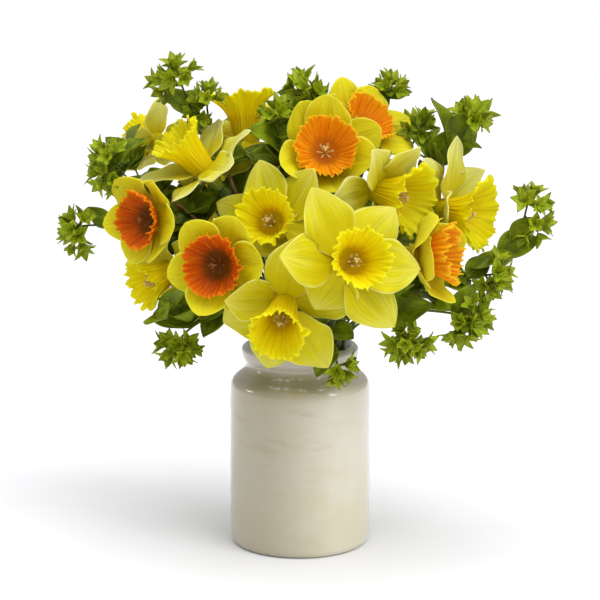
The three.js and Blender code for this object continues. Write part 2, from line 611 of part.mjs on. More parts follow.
// The whole bouquet in its jar
function bouquet() {
  const whole = new THREE.Group();
  whole.add(piece("jar", GLAZE, jar()));
  whole.add(piece("water", WATER, water()));
  for (const flower of FLOWERS) {
    const head = new THREE.Group();
    head.applyMatrix4(lookingAlong(heading(...flower.face)).setPosition(...flower.hub));
    if (flower.kind === "trumpet") {
      head.add(piece(`daffodil_${flower.name}`, YELLOW, trumpetFlower(flower)));
    } else {
      head.add(piece(`daffodil_${flower.name}`, YELLOW, cupPerianth(flower)));
      head.add(piece(`cup_${flower.name}`, ORANGE, cup(flower)));
    }
    whole.add(head);
    whole.add(piece(`stem_${flower.name}`, STALK_GREEN, stalk(flower)));
  }
  for (const plan of SPRAYS) whole.add(piece(`spray_${plan.name}`, LEAF_GREEN, spray(plan)));
  return whole;
}

export default bouquet();
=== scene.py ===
"""A bouquet of daffodils and leafy greenery, standing in a cream glazed stoneware jar.

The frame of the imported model: -Y is the front, +Z is up, and the origin is the centre of the jar's base.
Shapes are worked out in millimetres and become metres as their meshes are made.
"""

import math

import bpy
import numpy as np
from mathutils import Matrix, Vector
from mathutils.bvhtree import BVHTree


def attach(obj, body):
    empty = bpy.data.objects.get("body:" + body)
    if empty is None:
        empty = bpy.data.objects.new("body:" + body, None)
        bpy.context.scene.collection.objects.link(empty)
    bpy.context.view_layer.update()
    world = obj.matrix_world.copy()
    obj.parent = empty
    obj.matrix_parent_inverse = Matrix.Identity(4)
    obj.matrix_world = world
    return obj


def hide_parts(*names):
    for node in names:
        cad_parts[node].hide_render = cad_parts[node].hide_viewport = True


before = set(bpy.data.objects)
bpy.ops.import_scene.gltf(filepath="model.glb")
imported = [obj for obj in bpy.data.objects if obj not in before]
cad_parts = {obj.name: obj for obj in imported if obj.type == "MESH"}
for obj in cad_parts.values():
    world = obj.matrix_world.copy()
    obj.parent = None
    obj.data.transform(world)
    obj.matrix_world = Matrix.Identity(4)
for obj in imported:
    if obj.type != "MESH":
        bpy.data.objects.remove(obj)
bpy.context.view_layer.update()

MM = 0.001
FULL_TURN = 2 * math.pi

# The camera of the photograph: 10 degrees above the horizon, 1.2 m from the middle of the bouquet
CAMERA_TARGET = Vector((0, 0, 0.178))
CAMERA_DISTANCE = 1.2
CAMERA_ELEVATION = math.radians(10)
CAMERA_LENS = 100
CAMERA_SENSOR = 36

# The light: the world's strength to all but the camera, and suns of an azimuth off the front towards +X,
# an elevation, a strength and a spread, in degrees
WORLD_LIGHT = 0.47
SUNS = {
    "key": (48, 48, 1.45, 44), "top": (-40, 82, 1.75, 60), "fill": (0, 20, 0.3, 70),
    "right_gleam": (57, 17, 0.3, 14), "left_gleam": (-95, 15, 0.3, 14)}
FLOOR_HALF = 6.0

# The jar and the places of the stems in it
JAR_HEIGHT = 146
JAR_RADIUS = 51
JAR_WALL = 5
JAR_FLOOR = 7
JAR_SIDES = 128
BASE_ROUND = 5
BASE_FLAT = 20
SHOULDER_TOP = 129
SHOULDER_BOTTOM = 114
SHOULDER_PULL = 11
NECK_RADIUS = 39.5
NECK_HEIGHT = 133.5
NECK_PULL_DOWN = 4
INNER_SHOULDER = 6
LIP_RADIUS = 42.5
LIP_ROUND = 4
LIP_SPREAD = 3
MOUTH_DROP = 2
STEM_RADIUS = 2.7
STEM_SIDES = 14
TWIG_RADIUS = 1.0
TWIG_SIDES = 8
STEM_FOOT = 10
NECK_EXIT = 138
RISE = 50
NECK_PULL = 32

# The petals and the tube behind them, from the middle of the ring of petals
TUBE_LENGTH = 18
TUBE_RADIUS = 3.4
TUBE_SIDES = 24
HUB_RADIUS = 9
OVARY_RADIUS = 4.2
OVARY_LENGTH = 11
OVARY_BELLY = 0.45
PETAL_ROOT = 5
PETAL_LAYER = 1.8
PETAL_THICKNESS = 0.6
PETAL_GRID = (18, 22)
PETAL_WAVE = 2.4
PETAL_WAVES = 4
PETAL_PHASE = 2.1
PETAL_TWIST = 0.16
PETAL_LEAN = 16
PETAL_TIP = 0.02
TIP_BEND = 4
BACK_FOLD = -0.35
RIPPLE_POWER = 2.5
GROOVE_DEPTH = 0.9
GROOVE_WIDTH = 0.14
RIB_HEIGHT = 0.22
RIBS = 22
BLADE_EDGE = 0.35
STAR = {"reach": 50, "half_width": 16.5, "power": 0.92, "fullness": 0.85,
        "channel": 2.5, "curl": -6, "ripple": 2.4}
ROUND = {"reach": 36, "half_width": 15, "power": 1, "fullness": 0.6,
         "channel": 2.2, "curl": 6, "ripple": 2}

# The trumpets and the cups. Their waves, by cycles round the rim, are lobes, crimps and teeth, and then
# the lean and the folds of a trumpet or the pleats of a cup
FLOOR = 3
TRUMPET_FLOOR = 12
TRUMPET_FOOT = 8.4
TRUMPET_LENGTH = 35
TRUMPET_RADIUS = 19.5
TRUMPET_SIDES = 216
FLARE_START = 0.35
FLARE_POWER = 1.9
WAIST = 4.6
THROAT_RADIUS = 3
THROAT_DEPTH = 0.6
THROAT_POWER = 0.65
CUP_DEPTH = 14
CUP_RADIUS = 20
CUP_INSET = 2
CUP_SIDES = 288
SHEET = 0.6
TRUMPET_WAVES = ((6, 5), (14, 19, 27), (38, 47, 61), (9, 14), (18, 30))
CUP_WAVES = ((4, 7), (19, 13, 29), (43, 59, 71), (24, 37))

# The anthers: their foot and tip, spread, lean, length and half width, by whether the flower has a cup
ANTHERS = {False: (TRUMPET_FLOOR, 21, 3, 0.25, 7.5, 0.95), True: (FLOOR + 0.8, 9.5, 3.6, 0.9, 4.2, 0.6)}
SHEATH_LENGTH = 30
SHEATH_PLACE = 0.8
SHEATH_HALF = 5.2
SHEATH_ROLL = 2.2

# The greenery. A ring of bracts is its count, the rise above its plane in degrees, a length and a half width;
# a draw of small leaves is the least and the most of their elevation, and of their length
GOLDEN_ANGLE = 137.5
INNER_LEAVES = (0.34, 0.78, 5)
INNER_DRAW = (-5, 45, 24, 36)
SPRIG_LEAVES = 5
SPRIG_DRAW = (0, 60, 24, 34)
LEAF_DRAWS = 9
BASE_BRACTS = (4, 12, 14.5, 4.2)
HEAD_BRACTS = (5, 52, 12.5, 3.3)
BRACT_THICKNESS = 0.45
BRACT_GRID = (4, 6)
OUTER_RAYS = 5
OUTER_LEAN = (48, 82)
INNER_LEAN = (0, 20)
UMBEL_RAY = 7.5
RAY_RADIUS = 0.45
FLORET_ANGLES = (0.4, 2.5, 4.6)
LEAF_WIDTH = 0.33
LEAF_CENTRE = 110
LEAF_THICKNESS = 0.6
LEAF_GRID = (10, 14)
LEAF_BEND = 0.12
EVEN_PETALS = [(60 * step, 6) for step in range(6)]


def bloom(hub, face, size, stand, petals=EVEN_PETALS, **more):
    """A flower: hub, facing azimuth and elevation, size, place of the stem in the neck, and petals.

    A petal is its angle, lift and share of the length. bell widens a trumpet's rim or a cup's, deep
    lengthens it, and waist widens a trumpet's middle.
    """
    return {"hub": hub, "face": face, "size": size, "stand": stand, "petals": petals,
            "cup": False, "tone": "", "bell": 1, "deep": 1, "waist": 1, **more}


def twig(stand, arch, tip, stars, leaves, sprigs=()):
    """A spray: stand in the neck, arch that pulls the twig, tip, and what grows on it.

    A star is its place on the twig, azimuth, elevation, size and stalk, a leaf its place, azimuth,
    elevation and length, and a sprig its place and end.
    """
    return {"stand": stand, "arch": arch, "tip": tip, "stars": stars, "leaves": leaves, "sprigs": sprigs}


FLOWERS = {
    "far_left": bloom((-106, 48, 286), (-135, 20), 0.68, (-124, 25), tone="pale", petals=(
        (-3, 14), (78, 8), (136, 14), (-171, 44), (-118, 8), (-62, 16))),
    "top_left": bloom((-39, 36, 288), (-150, 80), 0.92, (-150, 12), bell=1.25, deep=1.1, petals=(
        (0, -38), (54, -34), (120, 20), (180, 45), (240, 45), (300, 6))),
    "upper_left": bloom((-67, -15, 273), (-66, 48), 0.95, (-84, 12), tone="pale", petals=(
        (-30, 20, 0.92), (36, 20), (86, 4), (140, 20), (-154, 36), (-92, 8, 0.85))),
    "left": bloom((-101, -36, 241), (-45, 3), 1, (-64, 25), cup=True, tone="burnt", petals=(
        (-42, 14, 1.05), (30, 26), (88, 14), (143, 24), (-156, 18), (-98, 28, 1.1))),
    "front_left": bloom((-53, -78, 216), (-21, 4), 1.05, (-38, 25), cup=True, tone="burnt", petals=(
        (-36, 22), (22, 17), (84, 14), (146, 4, 0.92), (-167, 22), (-108, 12))),
    "centre": bloom((-16, -54, 237), (-15, 22), 0.98, (-18, 13), petals=(
        (-21, 13), (32, 22), (95, -10), (155, -25, 0.65), (-118, -8, 0.48), (-70, 4))),
    "top": bloom((17, -24, 285), (3, 24), 1.1, (0, 0), cup=True, petals=(
        (8, 12), (70, 8, 1.1), (111, 24), (167, 28), (-112, 24), (-30, 10))),
    "top_right": bloom((41, 20, 298), (46, 38), 1.08, (110, 12), cup=True, bell=0.92, petals=(
        (-62, 12), (-3, 16, 1.1), (50, 20), (96, 30, 1.1), (135, 22, 1.1), (-150, 10))),
    "upper_right": bloom(
        (54, -32, 260), (54, -8), 0.9, (52, 13), tone="pale", bell=1.35, deep=1.04, waist=2.4,
        petals=((-42, 20), (12, 44), (66, 10), (124, 14, 0.85), (-160, 20, 0.9), (-97, -4))),
    "far_right": bloom(
        (102, 0, 243), (60, -4), 0.96, (88, 25), tone="pale", bell=1.35, deep=0.92, waist=1.5,
        petals=((2, 8, 1.12), (54, 22), (115, 12), (-178, 28), (-84, 34), (-34, 4))),
    "right": bloom((80, -68, 221), (72, 4), 1.05, (58, 25), cup=True, bell=0.94, deep=1.45, curl=26, petals=(
        (-92, 16, 0.78), (-36, 14), (-4, 14, 0.8), (78, 30, 1.1), (172, 8, 1.05), (-140, 8, 0.75))),
    "front_right": bloom((29, -104, 220), (18, 15), 1.12, (22, 25), bell=0.88, deep=0.92, petals=(
        (-24, 20), (46, 0), (97, 8, 0.94), (143, -6), (206, -35, 0.7), (-82, 34))),
    "front_low": bloom((-10, -86, 191), (-9, -24), 1.1, (-8, 25), bell=0.86, petals=(
        (13, 6), (84, 4), (148, 15), (-165, 14), (-116, -10), (-70, 36, 0.8))),
    "low_left": bloom((-91, -8, 201), (-52, -18), 0.82, (-88, 25), bell=1.1, petals=(
        (0, 6, 0.8), (60, 6), (125, 6), (180, 2, 0.8), (-128, 16, 0.8), (-76, 36))),
    "back_left": bloom((-60, 80, 234), (-145, 15), 0.95, (-142, 25)),
    "back": bloom((5, 84, 265), (175, 25), 1, (178, 25), cup=True),
    "back_right": bloom((66, 76, 225), (138, 5), 0.95, (136, 25)),
}

SPRAYS = {
    "top_left_tall": twig(
        (-104, 18.5), (-76, 42, 292), (-86, 10, 338), stars=((1, -30, 60, 1, 0), (0.95, -100, 0, 0.9, 9)),
        leaves=((0.84, -75, 40, 25),)),
    "top_left_short": twig(
        (-128, 18.5), (-70, 46, 280), (-66, 8, 320), stars=((1, -30, 75, 0.9, 0), (0.92, -60, 10, 0.8, 7)),
        leaves=((0.9, -20, 10, 20),), sprigs=((0.75, (-52, 12, 272)), (0.7, (-20, 30, 276)))),
    "left_upper": twig(
        (-76, 31.8), (-112, -6, 250), (-133, -16, 282), stars=((1, -50, 60, 0.9, 0), (0.92, -60, -30, 0.9, 8)),
        leaves=((0.94, 60, 50, 28),),
        sprigs=((0.75, (-122, 4, 280)), (0.6, (-96, -6, 230)), (0.7, (-97, -8, 252)))),
    "far_left": twig(
        (-98, 31.8), (-115, 34, 235), (-157, -4, 232), stars=((1, -70, 50, 0.95, 0), (0.97, -60, -55, 0.95, 9)),
        leaves=((0.86, -80, 45, 20),),
        sprigs=((0.5, (-84, 2, 246)), (0.45, (-68, 0, 240)), (0.8, (-132, 8, 268)))),
    "top_centre": twig(
        (-160, 5.5), (2, 22, 300), (3, 22, 324), stars=((1, -20, 60, 1.1, 0), (0.93, 40, 30, 1, 7)),
        leaves=((0.9, -70, 35, 22),)),
    "top_right_back": twig(
        (150, 18.5), (60, 52, 290), (66, 50, 324), stars=((1, 10, 70, 0.9, 0),),
        leaves=((0.96, 90, 20, 18), (0.9, -80, 60, 22))),
    "top_right_short": twig(
        (96, 18.5), (78, 34, 270), (86, 32, 298), stars=((1, 30, 60, 0.9, 0),),
        leaves=((0.7, -60, 30, 24),), sprigs=((0.75, (52, 2, 284)), (0.85, (98, 12, 272)))),
    "right_tall": twig(
        (104, 31.8), (108, 34, 268), (122, 12, 306), stars=((1, 50, 40, 1.1, 0),),
        leaves=((0.82, -90, 76, 42), (0.81, 90, 74, 42), (0.86, 80, 0, 18))),
    "far_right": twig(
        (78, 30), (152, -6, 178), (161, -8, 248), stars=((1, 60, 60, 1, 0), (0.96, 70, -45, 0.95, 8)),
        leaves=((0.86, 60, 40, 26),)),
    "right_mid": twig(
        (68, 31.8), (118, -14, 196), (136, -20, 200), stars=((1, 60, 20, 1, 0), (0.93, 20, -40, 0.9, 7)),
        leaves=((0.8, 110, 40, 24),), sprigs=((0.5, (40, -12, 254)), (0.6, (96, -6, 230)))),
    "right_low": twig(
        (48, 31.8), (98, -34, 176), (120, -32, 172), stars=((1, 40, 0, 1, 0), (0.9, 20, -50, 1, 8)),
        leaves=((0.86, 60, 55, 26),), sprigs=((0.45, (66, -48, 188)), (0.6, (96, -30, 196)))),
    "front_right_low": twig(
        (34, 31.8), (64, -52, 176), (76, -52, 158), stars=((1, 40, -50, 1, 0), (0.9, 0, -10, 0.9, 8)),
        leaves=((0.7, 80, 25, 36),)),
    "low_left": twig(
        (-72, 31.8), (-76, -26, 172), (-88, -26, 150), stars=((1, -40, -40, 1, 0), (0.9, 10, -30, 0.9, 10)),
        leaves=((0.7, -90, 5, 34), (0.5, -30, -20, 28)),
        sprigs=((0.5, (-76, -48, 170)), (0.7, (-99, -40, 172)))),
    "lip": twig(
        (10, 31.8), (20, -52, 165), (26, -56, 142), stars=((1, 60, -40, 0.9, 0),),
        leaves=((0.8, -30, -40, 26),)),
    "inner": twig(
        (-70, 5.5), (-14, 2, 290), (-17, -2, 310), stars=((1, -10, 60, 0.9, 0),),
        leaves=((0.85, 60, 20, 20), (0.75, -60, 10, 24)),
        sprigs=((0.8, (-11, 0, 272)), (0.7, (41, 0, 275)), (0.85, (-12, 22, 300)),
                (0.5, (-38, -30, 214)), (0.6, (-48, 6, 250)))),
    "back_left": twig(
        (-168, 31.8), (-34, 100, 270), (-40, 104, 300), stars=((1, -150, 50, 1.1, 0),),
        leaves=((0.8, -120, 20, 28),)),
    "back_right": twig(
        (152, 31.8), (40, 70, 300), (86, 70, 290), stars=((1, 130, 40, 1.1, 0),),
        leaves=((0.8, 100, 30, 28),)),
}


# Vectors and placing

def unit(vector):
    return vector / np.linalg.norm(vector)


def heading(azimuth, elevation):
    """The unit vector of an azimuth from the front towards +X, and an elevation, in degrees."""
    a, e = math.radians(azimuth), math.radians(elevation)
    return np.array([math.sin(a) * math.cos(e), -math.cos(a) * math.cos(e), math.sin(e)])


def polar(angle, out, up):
    """A point out from the third axis at an angle round it, and up along it."""
    return np.array([out * math.cos(angle), out * math.sin(angle), up])


def looking_along(forward):
    """The turn whose third axis is forward and whose second is as upright as can be."""
    up = unit(np.array([0, 0, 1.0]) - forward * forward[2])
    return np.column_stack([np.cross(up, forward), up, forward])


def growing(along, facing):
    """The turn whose second axis is along and whose third is towards facing."""
    out = unit(facing - along * np.dot(facing, along))
    return np.column_stack([np.cross(along, out), along, out])


def pose(flower):
    """The turn of a flower and the middle of its ring of petals."""
    return looking_along(heading(*flower["face"])), np.array(flower["hub"], float)


def in_neck(stand, height):
    a = math.radians(stand[0])
    return np.array([stand[1] * math.sin(a), -stand[1] * math.cos(a), height])


def bend_points(controls, shares):
    """Points on a cubic curve of four control points."""
    t = np.asarray(shares, float)[:, None]
    a, b, c, d = [np.asarray(p, float) for p in controls]
    return (1 - t) ** 3 * a + 3 * (1 - t) ** 2 * t * b + 3 * (1 - t) * t ** 2 * c + t ** 3 * d


def stem_path(stand, controls, steps):
    """Straight up from the foot in the water to the neck, and on along the curve."""
    foot, mouth = in_neck(stand, STEM_FOOT), controls[0]
    straight = [foot + (mouth - foot) * s for s in np.linspace(0, 1, 6)[:-1]]
    return np.concatenate([straight, bend_points(controls, np.linspace(0, 1, steps))])


def beyond(share, start):
    """0 up to start, and from there evenly to 1 at a share of 1."""
    return np.clip((share - start) / (1 - start), 0, 1)


# Meshes

class Piece:
    """A mesh in the making: closed patches of points in millimetres, with each point's place for the shader."""

    def __init__(self):
        self.points, self.faces, self.places, self.seeds, self.slots = [], [], [], [], []
        self.count = 0

    def add(self, points, faces, places, seed=0.0, slot=0):
        self.points.append(points)
        self.places.append(places)
        self.seeds.append(np.full(len(points), seed))
        for part in faces:
            self.faces += (part + self.count).tolist()
            self.slots += [slot] * len(part)
        self.count += len(points)

    def absorb(self, other):
        self.faces += [[corner + self.count for corner in face] for face in other.faces]
        self.points += other.points
        self.places += other.places
        self.seeds += other.seeds
        self.slots += other.slots
        self.count += other.count

    def tree(self):
        return BVHTree.FromPolygons(np.concatenate(self.points).tolist(), self.faces)

    def make(self, name, materials):
        mesh = bpy.data.meshes.new(name)
        mesh.from_pydata((np.concatenate(self.points) * MM).tolist(), [], self.faces)
        for material in materials:
            mesh.materials.append(material)
        mesh.polygons.foreach_set("material_index", self.slots)
        mesh.polygons.foreach_set("use_smooth", [True] * len(self.faces))
        place = mesh.attributes.new("place", "FLOAT_VECTOR", "POINT")
        place.data.foreach_set("vector", np.concatenate(self.places).astype(np.float32).ravel())
        seed = mesh.attributes.new("seed", "FLOAT", "POINT")
        seed.data.foreach_set("value", np.concatenate(self.seeds).astype(np.float32))
        return link(bpy.data.objects.new(name, mesh))


def link(made):
    bpy.context.scene.collection.objects.link(made)
    return made


def quads(rows, columns, wrap=False):
    """The faces of a grid of points, closed round the columns where wrap is set."""
    order = np.arange(rows * columns).reshape(rows, columns)
    if wrap:
        order = np.hstack([order, order[:, :1]])
    return np.stack([order[:-1, :-1], order[:-1, 1:], order[1:, 1:], order[1:, :-1]], axis=2).reshape(-1, 4)


def caps(rings, columns):
    """The faces that close both ends of a wrapped grid, to the two points that follow it."""
    low, last = rings * columns, (rings - 1) * columns
    pairs = [(j, (j + 1) % columns) for j in range(columns)]
    return np.array([(low, nxt, j) for j, nxt in pairs] + [(low + 1, last + j, last + nxt) for j, nxt in pairs])


def blade(piece, grid, thickness, surface, turn, origin, seed, slot=0):
    """A thin closed blade. surface gives points from u, -1 to 1 across, and v, 0 at the root to 1 at the tip."""
    columns, rows = grid
    u, v = np.meshgrid(np.linspace(-1, 1, columns + 1), np.linspace(0, 1, rows + 1))
    middle = surface(u, v)
    normal = np.cross(np.gradient(middle, axis=1), np.gradient(middle, axis=0))
    normal /= np.maximum(np.linalg.norm(normal, axis=2, keepdims=True), 1e-9)
    half = (thickness / 2 * (1 - (1 - BLADE_EDGE) * np.abs(u) ** 5))[..., None]
    sides = np.stack([middle + normal * half, middle - normal * half])
    points = sides.reshape(-1, 3) @ turn.T + origin
    count = u.size
    front = quads(rows + 1, columns + 1)
    order = np.arange(count).reshape(u.shape)
    rim = np.concatenate([order[0, :-1], order[:-1, -1], order[-1, :0:-1], order[:0:-1, 0]])
    following = np.roll(rim, -1)
    border = np.stack([rim + count, following + count, following, rim], axis=1)
    places = np.stack([np.tile(u.ravel(), 2), np.tile(v.ravel(), 2), np.repeat([1.0, -1.0], count)], axis=1)
    piece.add(points, [front, front[:, ::-1] + count, border], places, seed, slot)


def revolve(piece, radius, height, columns, turn, origin, reshape=None, places=None, seed=0.0, slot=0):
    """A closed surface of revolution whose outline starts and ends on the axis."""
    radius, height = np.asarray(radius, float), np.asarray(height, float)
    angle = FULL_TURN * np.arange(columns) / columns
    rings = len(radius) - 2
    r = np.repeat(radius[1:-1, None], columns, axis=1)
    z = np.repeat(height[1:-1, None], columns, axis=1)
    a = np.repeat(angle[None], rings, axis=0)
    if reshape:
        r, z = reshape(r, z, a)
    local = np.stack([r * np.cos(a), r * np.sin(a), z], axis=2).reshape(-1, 3)
    local = np.concatenate([local, [[0, 0, height[0]], [0, 0, height[-1]]]])
    along, side = places or (np.linspace(0, 1, rings), np.ones(rings))
    place = np.stack([(a / FULL_TURN).ravel(), np.repeat(along, columns), np.repeat(side, columns)], axis=1)
    place = np.concatenate([place, [[0, along[0], side[0]], [0, along[-1], side[-1]]]])
    piece.add(local @ turn.T + origin, [quads(rings, columns, True), caps(rings, columns)], place, seed, slot)


def tube(piece, path, radius, sides):
    """A closed tube along a path, with a radius at each of its points."""
    path = np.asarray(path, float)
    tangent = np.gradient(path, axis=0)
    tangent /= np.linalg.norm(tangent, axis=1, keepdims=True)
    side = unit(np.cross(tangent[0], [0.31, 0.87, 0.38]))
    angle = FULL_TURN * np.arange(sides) / sides
    rings = []
    for point, along, wide in zip(path, tangent, np.broadcast_to(radius, len(path))):
        side = unit(side - along * np.dot(side, along))
        other = np.cross(along, side)
        rings.append(point + wide * (np.cos(angle)[:, None] * side + np.sin(angle)[:, None] * other))
    points = np.concatenate(rings + [path[:1], path[-1:]])
    count, share = len(path) * sides, np.linspace(0, 1, len(path))
    place = np.stack([np.tile(angle / FULL_TURN, len(path)), np.repeat(share, sides), np.ones(count)], axis=1)
    place = np.concatenate([place, [[0, 0, 1], [0, 1, 1]]])
    piece.add(points, [quads(len(path), sides, True), caps(len(path), sides)], place)


# Materials

class Shader:
    """A node material with one Principled shader, and short ways to add nodes to it.

    A colour is a socket or a screen colour such as 0xE8D31E.
    """

    def __init__(self, name, **settings):
        self.material = bpy.data.materials.new(name)
        self.material.use_nodes = True
        self.tree = self.material.node_tree
        self.surface = self.tree.nodes["Principled BSDF"]
        for socket, value in settings.items():
            self.surface.inputs[socket.replace("_", " ")].default_value = value

    def node(self, kind, *inputs, **options):
        made = self.tree.nodes.new(kind)
        for option, value in options.items():
            setattr(made, option, value)
        for socket, value in zip(made.inputs, inputs):
            self.feed(socket, value)
        return made

    def feed(self, socket, value):
        if isinstance(value, bpy.types.NodeSocket):
            self.tree.links.new(value, socket)
        else:
            socket.default_value = value

    def plug(self, made, **inputs):
        for socket, value in inputs.items():
            self.feed(made.inputs[socket], value)
        return made

    def calc(self, operation, *values):
        return self.node("ShaderNodeMath", *values, operation=operation).outputs[0]

    def times(self, first, second):
        return self.calc("MULTIPLY", first, second)

    def scaled(self, value, factor, shift):
        return self.calc("MULTIPLY_ADD", value, factor, shift)

    def between(self, value, low, high):
        """0 at low and beyond and 1 at high and beyond, either way round, with a smooth step between them."""
        made = self.node("ShaderNodeMapRange", value, low, high, 0.0, 1.0, interpolation_type="SMOOTHSTEP")
        return made.outputs[0]

    def mix(self, share, first, second):
        made = self.plug(self.node("ShaderNodeMix", data_type="RGBA"), Factor=share, A=tint(first), B=tint(second))
        colours = [o for o in made.outputs if o.type == "RGBA"]
        return colours[0]

    def ramp(self, value, stops):
        made = self.node("ShaderNodeValToRGB", value)
        elements = made.color_ramp.elements
        while len(elements) < len(stops):
            elements.new(0.5)
        for element, (place, colour) in zip(elements, stops):
            element.position = place
            element.color = tint(colour)
        return made.outputs[0]

    def noise(self, vector, scale, detail=3.0, roughness=0.55):
        made = self.node("ShaderNodeTexNoise")
        return self.plug(made, Vector=vector, Scale=scale, Detail=detail, Roughness=roughness).outputs["Fac"]

    def join(self, x, y, z):
        return self.node("ShaderNodeCombineXYZ", x, y, z).outputs[0]

    def place(self):
        """The stored place of a point: across, along and side, and the seed of its blade."""
        stored = self.node("ShaderNodeAttribute", attribute_name="place")
        parts = self.node("ShaderNodeSeparateXYZ", stored.outputs["Vector"])
        seed = self.node("ShaderNodeAttribute", attribute_name="seed").outputs["Fac"]
        return parts.outputs[0], parts.outputs[1], parts.outputs[2], seed

    def spot(self):
        """The point in the object's own frame, in metres."""
        return self.node("ShaderNodeTexCoord").outputs["Object"]

    def colour(self, value):
        self.feed(self.surface.inputs["Base Color"], value)

    def bump(self, height, strength, distance):
        made = self.plug(self.node("ShaderNodeBump"), Strength=strength, Distance=distance, Height=height)
        self.feed(self.surface.inputs["Normal"], made.outputs[0])


def tint(colour):
    """A screen colour such as 0xE8D31E as a linear one. A socket passes as it is."""
    if not isinstance(colour, int):
        return colour
    parts = [((colour >> shift) & 255) / 255 for shift in (16, 8, 0)]
    return (*[c / 12.92 if c <= 0.04045 else ((c + 0.055) / 1.055) ** 2.4 for c in parts], 1.0)


def petal_material(name, tones, pale_share, pale_tone, rim_tone):
    """Along: -1 at the ovary, 0 at the ring of petals and 1 at a petal's tip. The tones run from 0 to 1."""
    s = Shader(name, Roughness=0.6, Specular_IOR_Level=0.12, Subsurface_Weight=0.6, Subsurface_Scale=0.003,
               Subsurface_Radius=(1.0, 0.9, 0.1))
    across, along, side, seed = s.place()
    apart = s.calc("ABSOLUTE", across)
    shift = s.times(seed, 17.3)
    streaks = s.noise(s.join(s.scaled(across, 6.0, shift), s.times(along, 0.9), shift), 1.0)
    fine = s.noise(s.join(s.scaled(across, 22.0, shift), s.times(along, 1.6), shift), 1.0)
    stops = zip((0.0, 0.3, 0.5, 0.66, 0.84, 1.0), (0x66802A, 0x8E9420, *tones))
    base = s.ramp(s.scaled(along, 0.5, 0.5), list(stops))
    pale = s.times(s.between(streaks, 0.48, 0.66), s.between(along, 0.3, 0.85))
    tinted = s.mix(s.times(pale, pale_share), base, pale_tone)
    dark = s.times(s.between(fine, 0.52, 0.66), s.between(along, 0.05, 0.5))
    tinted = s.mix(s.times(dark, 0.4), tinted, 0x9C9410)
    middle = s.times(s.between(apart, 0.14, 0.0), s.between(along, 1.0, 0.6))
    tinted = s.mix(s.times(middle, 0.3), tinted, 0xA09A14)
    back = s.times(s.between(side, 0.5, -0.5), s.between(along, 0.1, 0.6))
    tinted = s.mix(s.times(back, 0.4), tinted, pale_tone)
    edge = s.between(apart, 0.9, 1.0)
    s.colour(s.mix(s.times(edge, 0.55), tinted, rim_tone))
    s.bump(s.calc("ADD", streaks, s.times(fine, 0.5)), 0.5, 0.0006)
    return s.material


def corona_material(name, stops, throat, depth, crease, rim):
    """Along: 0 at the base to 1 at the rim. The inside is darker down in the throat."""
    s = Shader(name, Roughness=0.6, Specular_IOR_Level=0.1, Subsurface_Weight=0.75, Subsurface_Scale=0.004,
               Subsurface_Radius=(1.0, 0.75, 0.1))
    turn, along, side, seed = s.place()
    angle = s.times(turn, FULL_TURN)
    shift = s.times(seed, 11.7)
    vector = s.join(s.scaled(s.calc("COSINE", angle), 9.0, shift), s.times(s.calc("SINE", angle), 9.0),
                    s.times(along, 1.4))
    streaks = s.noise(vector, 1.0)
    tinted = s.mix(s.times(s.between(streaks, 0.5, 0.66), 0.6), s.ramp(along, stops), crease)
    tinted = s.mix(s.times(s.between(streaks, 0.48, 0.36), 0.4), tinted, rim)
    inside = s.times(s.between(side, 0.0, 0.5), s.between(along, depth, 0.04))
    tinted = s.mix(inside, tinted, throat)
    edge = s.between(along, 0.94, 1.0)
    s.colour(s.mix(s.times(edge, 0.7), tinted, rim))
    s.bump(streaks, 0.5, 0.0006)
    return s.material


def stamen_material(name, deep, bright):
    s = Shader(name, Roughness=0.75)
    grain = s.noise(s.spot(), 1800.0, 4.0)
    s.colour(s.mix(s.between(grain, 0.4, 0.65), deep, bright))
    s.bump(grain, 0.5, 0.0002)
    return s.material


def stalk_material():
    s = Shader("stalk", Roughness=0.5, Specular_IOR_Level=0.3)
    turn = s.place()[0]
    ribs = s.calc("SINE", s.times(s.times(turn, FULL_TURN), 9.0))
    patches = s.noise(s.spot(), 140.0, 4.0)
    base = s.mix(s.between(patches, 0.35, 0.7), 0x3E5212, 0x6C7F24)
    s.colour(s.mix(s.scaled(ribs, 0.12, 0.12), base, 0x2C3C0C))
    s.bump(ribs, 0.3, 0.0003)
    return s.material


def sheath_material():
    s = Shader("sheath", Roughness=0.7, Specular_IOR_Level=0.3, Subsurface_Weight=0.2, Subsurface_Scale=0.001)
    across, along, _, seed = s.place()
    lines = s.noise(s.join(s.times(across, 12.0), s.times(along, 2.0), seed), 1.0, 5.0)
    base = s.ramp(along, ((0.0, 0x5E6A24), (0.25, 0x7C6A36), (0.8, 0x8A7244), (1.0, 0x5C4420)))
    s.colour(s.mix(s.times(s.between(lines, 0.45, 0.65), 0.7), base, 0x4E3C1C))
    s.bump(lines, 0.8, 0.0005)
    return s.material


def leaf_material(name, deep, bright, tip):
    s = Shader(name, Roughness=0.5, Specular_IOR_Level=0.2, Subsurface_Weight=0.25, Subsurface_Scale=0.001)
    across, along, side, seed = s.place()
    apart = s.calc("ABSOLUTE", across)
    patches = s.noise(s.join(s.times(across, 2.0), s.times(along, 3.0), s.times(seed, 9.1)), 1.0, 4.0)
    base = s.mix(s.between(patches, 0.35, 0.7), deep, bright)
    veins = s.calc("SINE", s.scaled(along, 62.0, s.times(apart, -14.0)))
    veins = s.times(s.between(veins, 0.55, 1.0), s.between(apart, 1.0, 0.6))
    lines = s.calc("MAXIMUM", s.times(veins, 0.35), s.between(apart, 0.13, 0.03))
    base = s.mix(s.times(lines, 0.5), base, bright)
    base = s.mix(s.times(s.between(side, 0.0, -0.5), 0.3), base, 0x7C8C24)
    s.colour(s.mix(s.between(along, 0.82, 1.0), base, tip))
    s.bump(lines, 0.4, -0.0004)
    return s.material


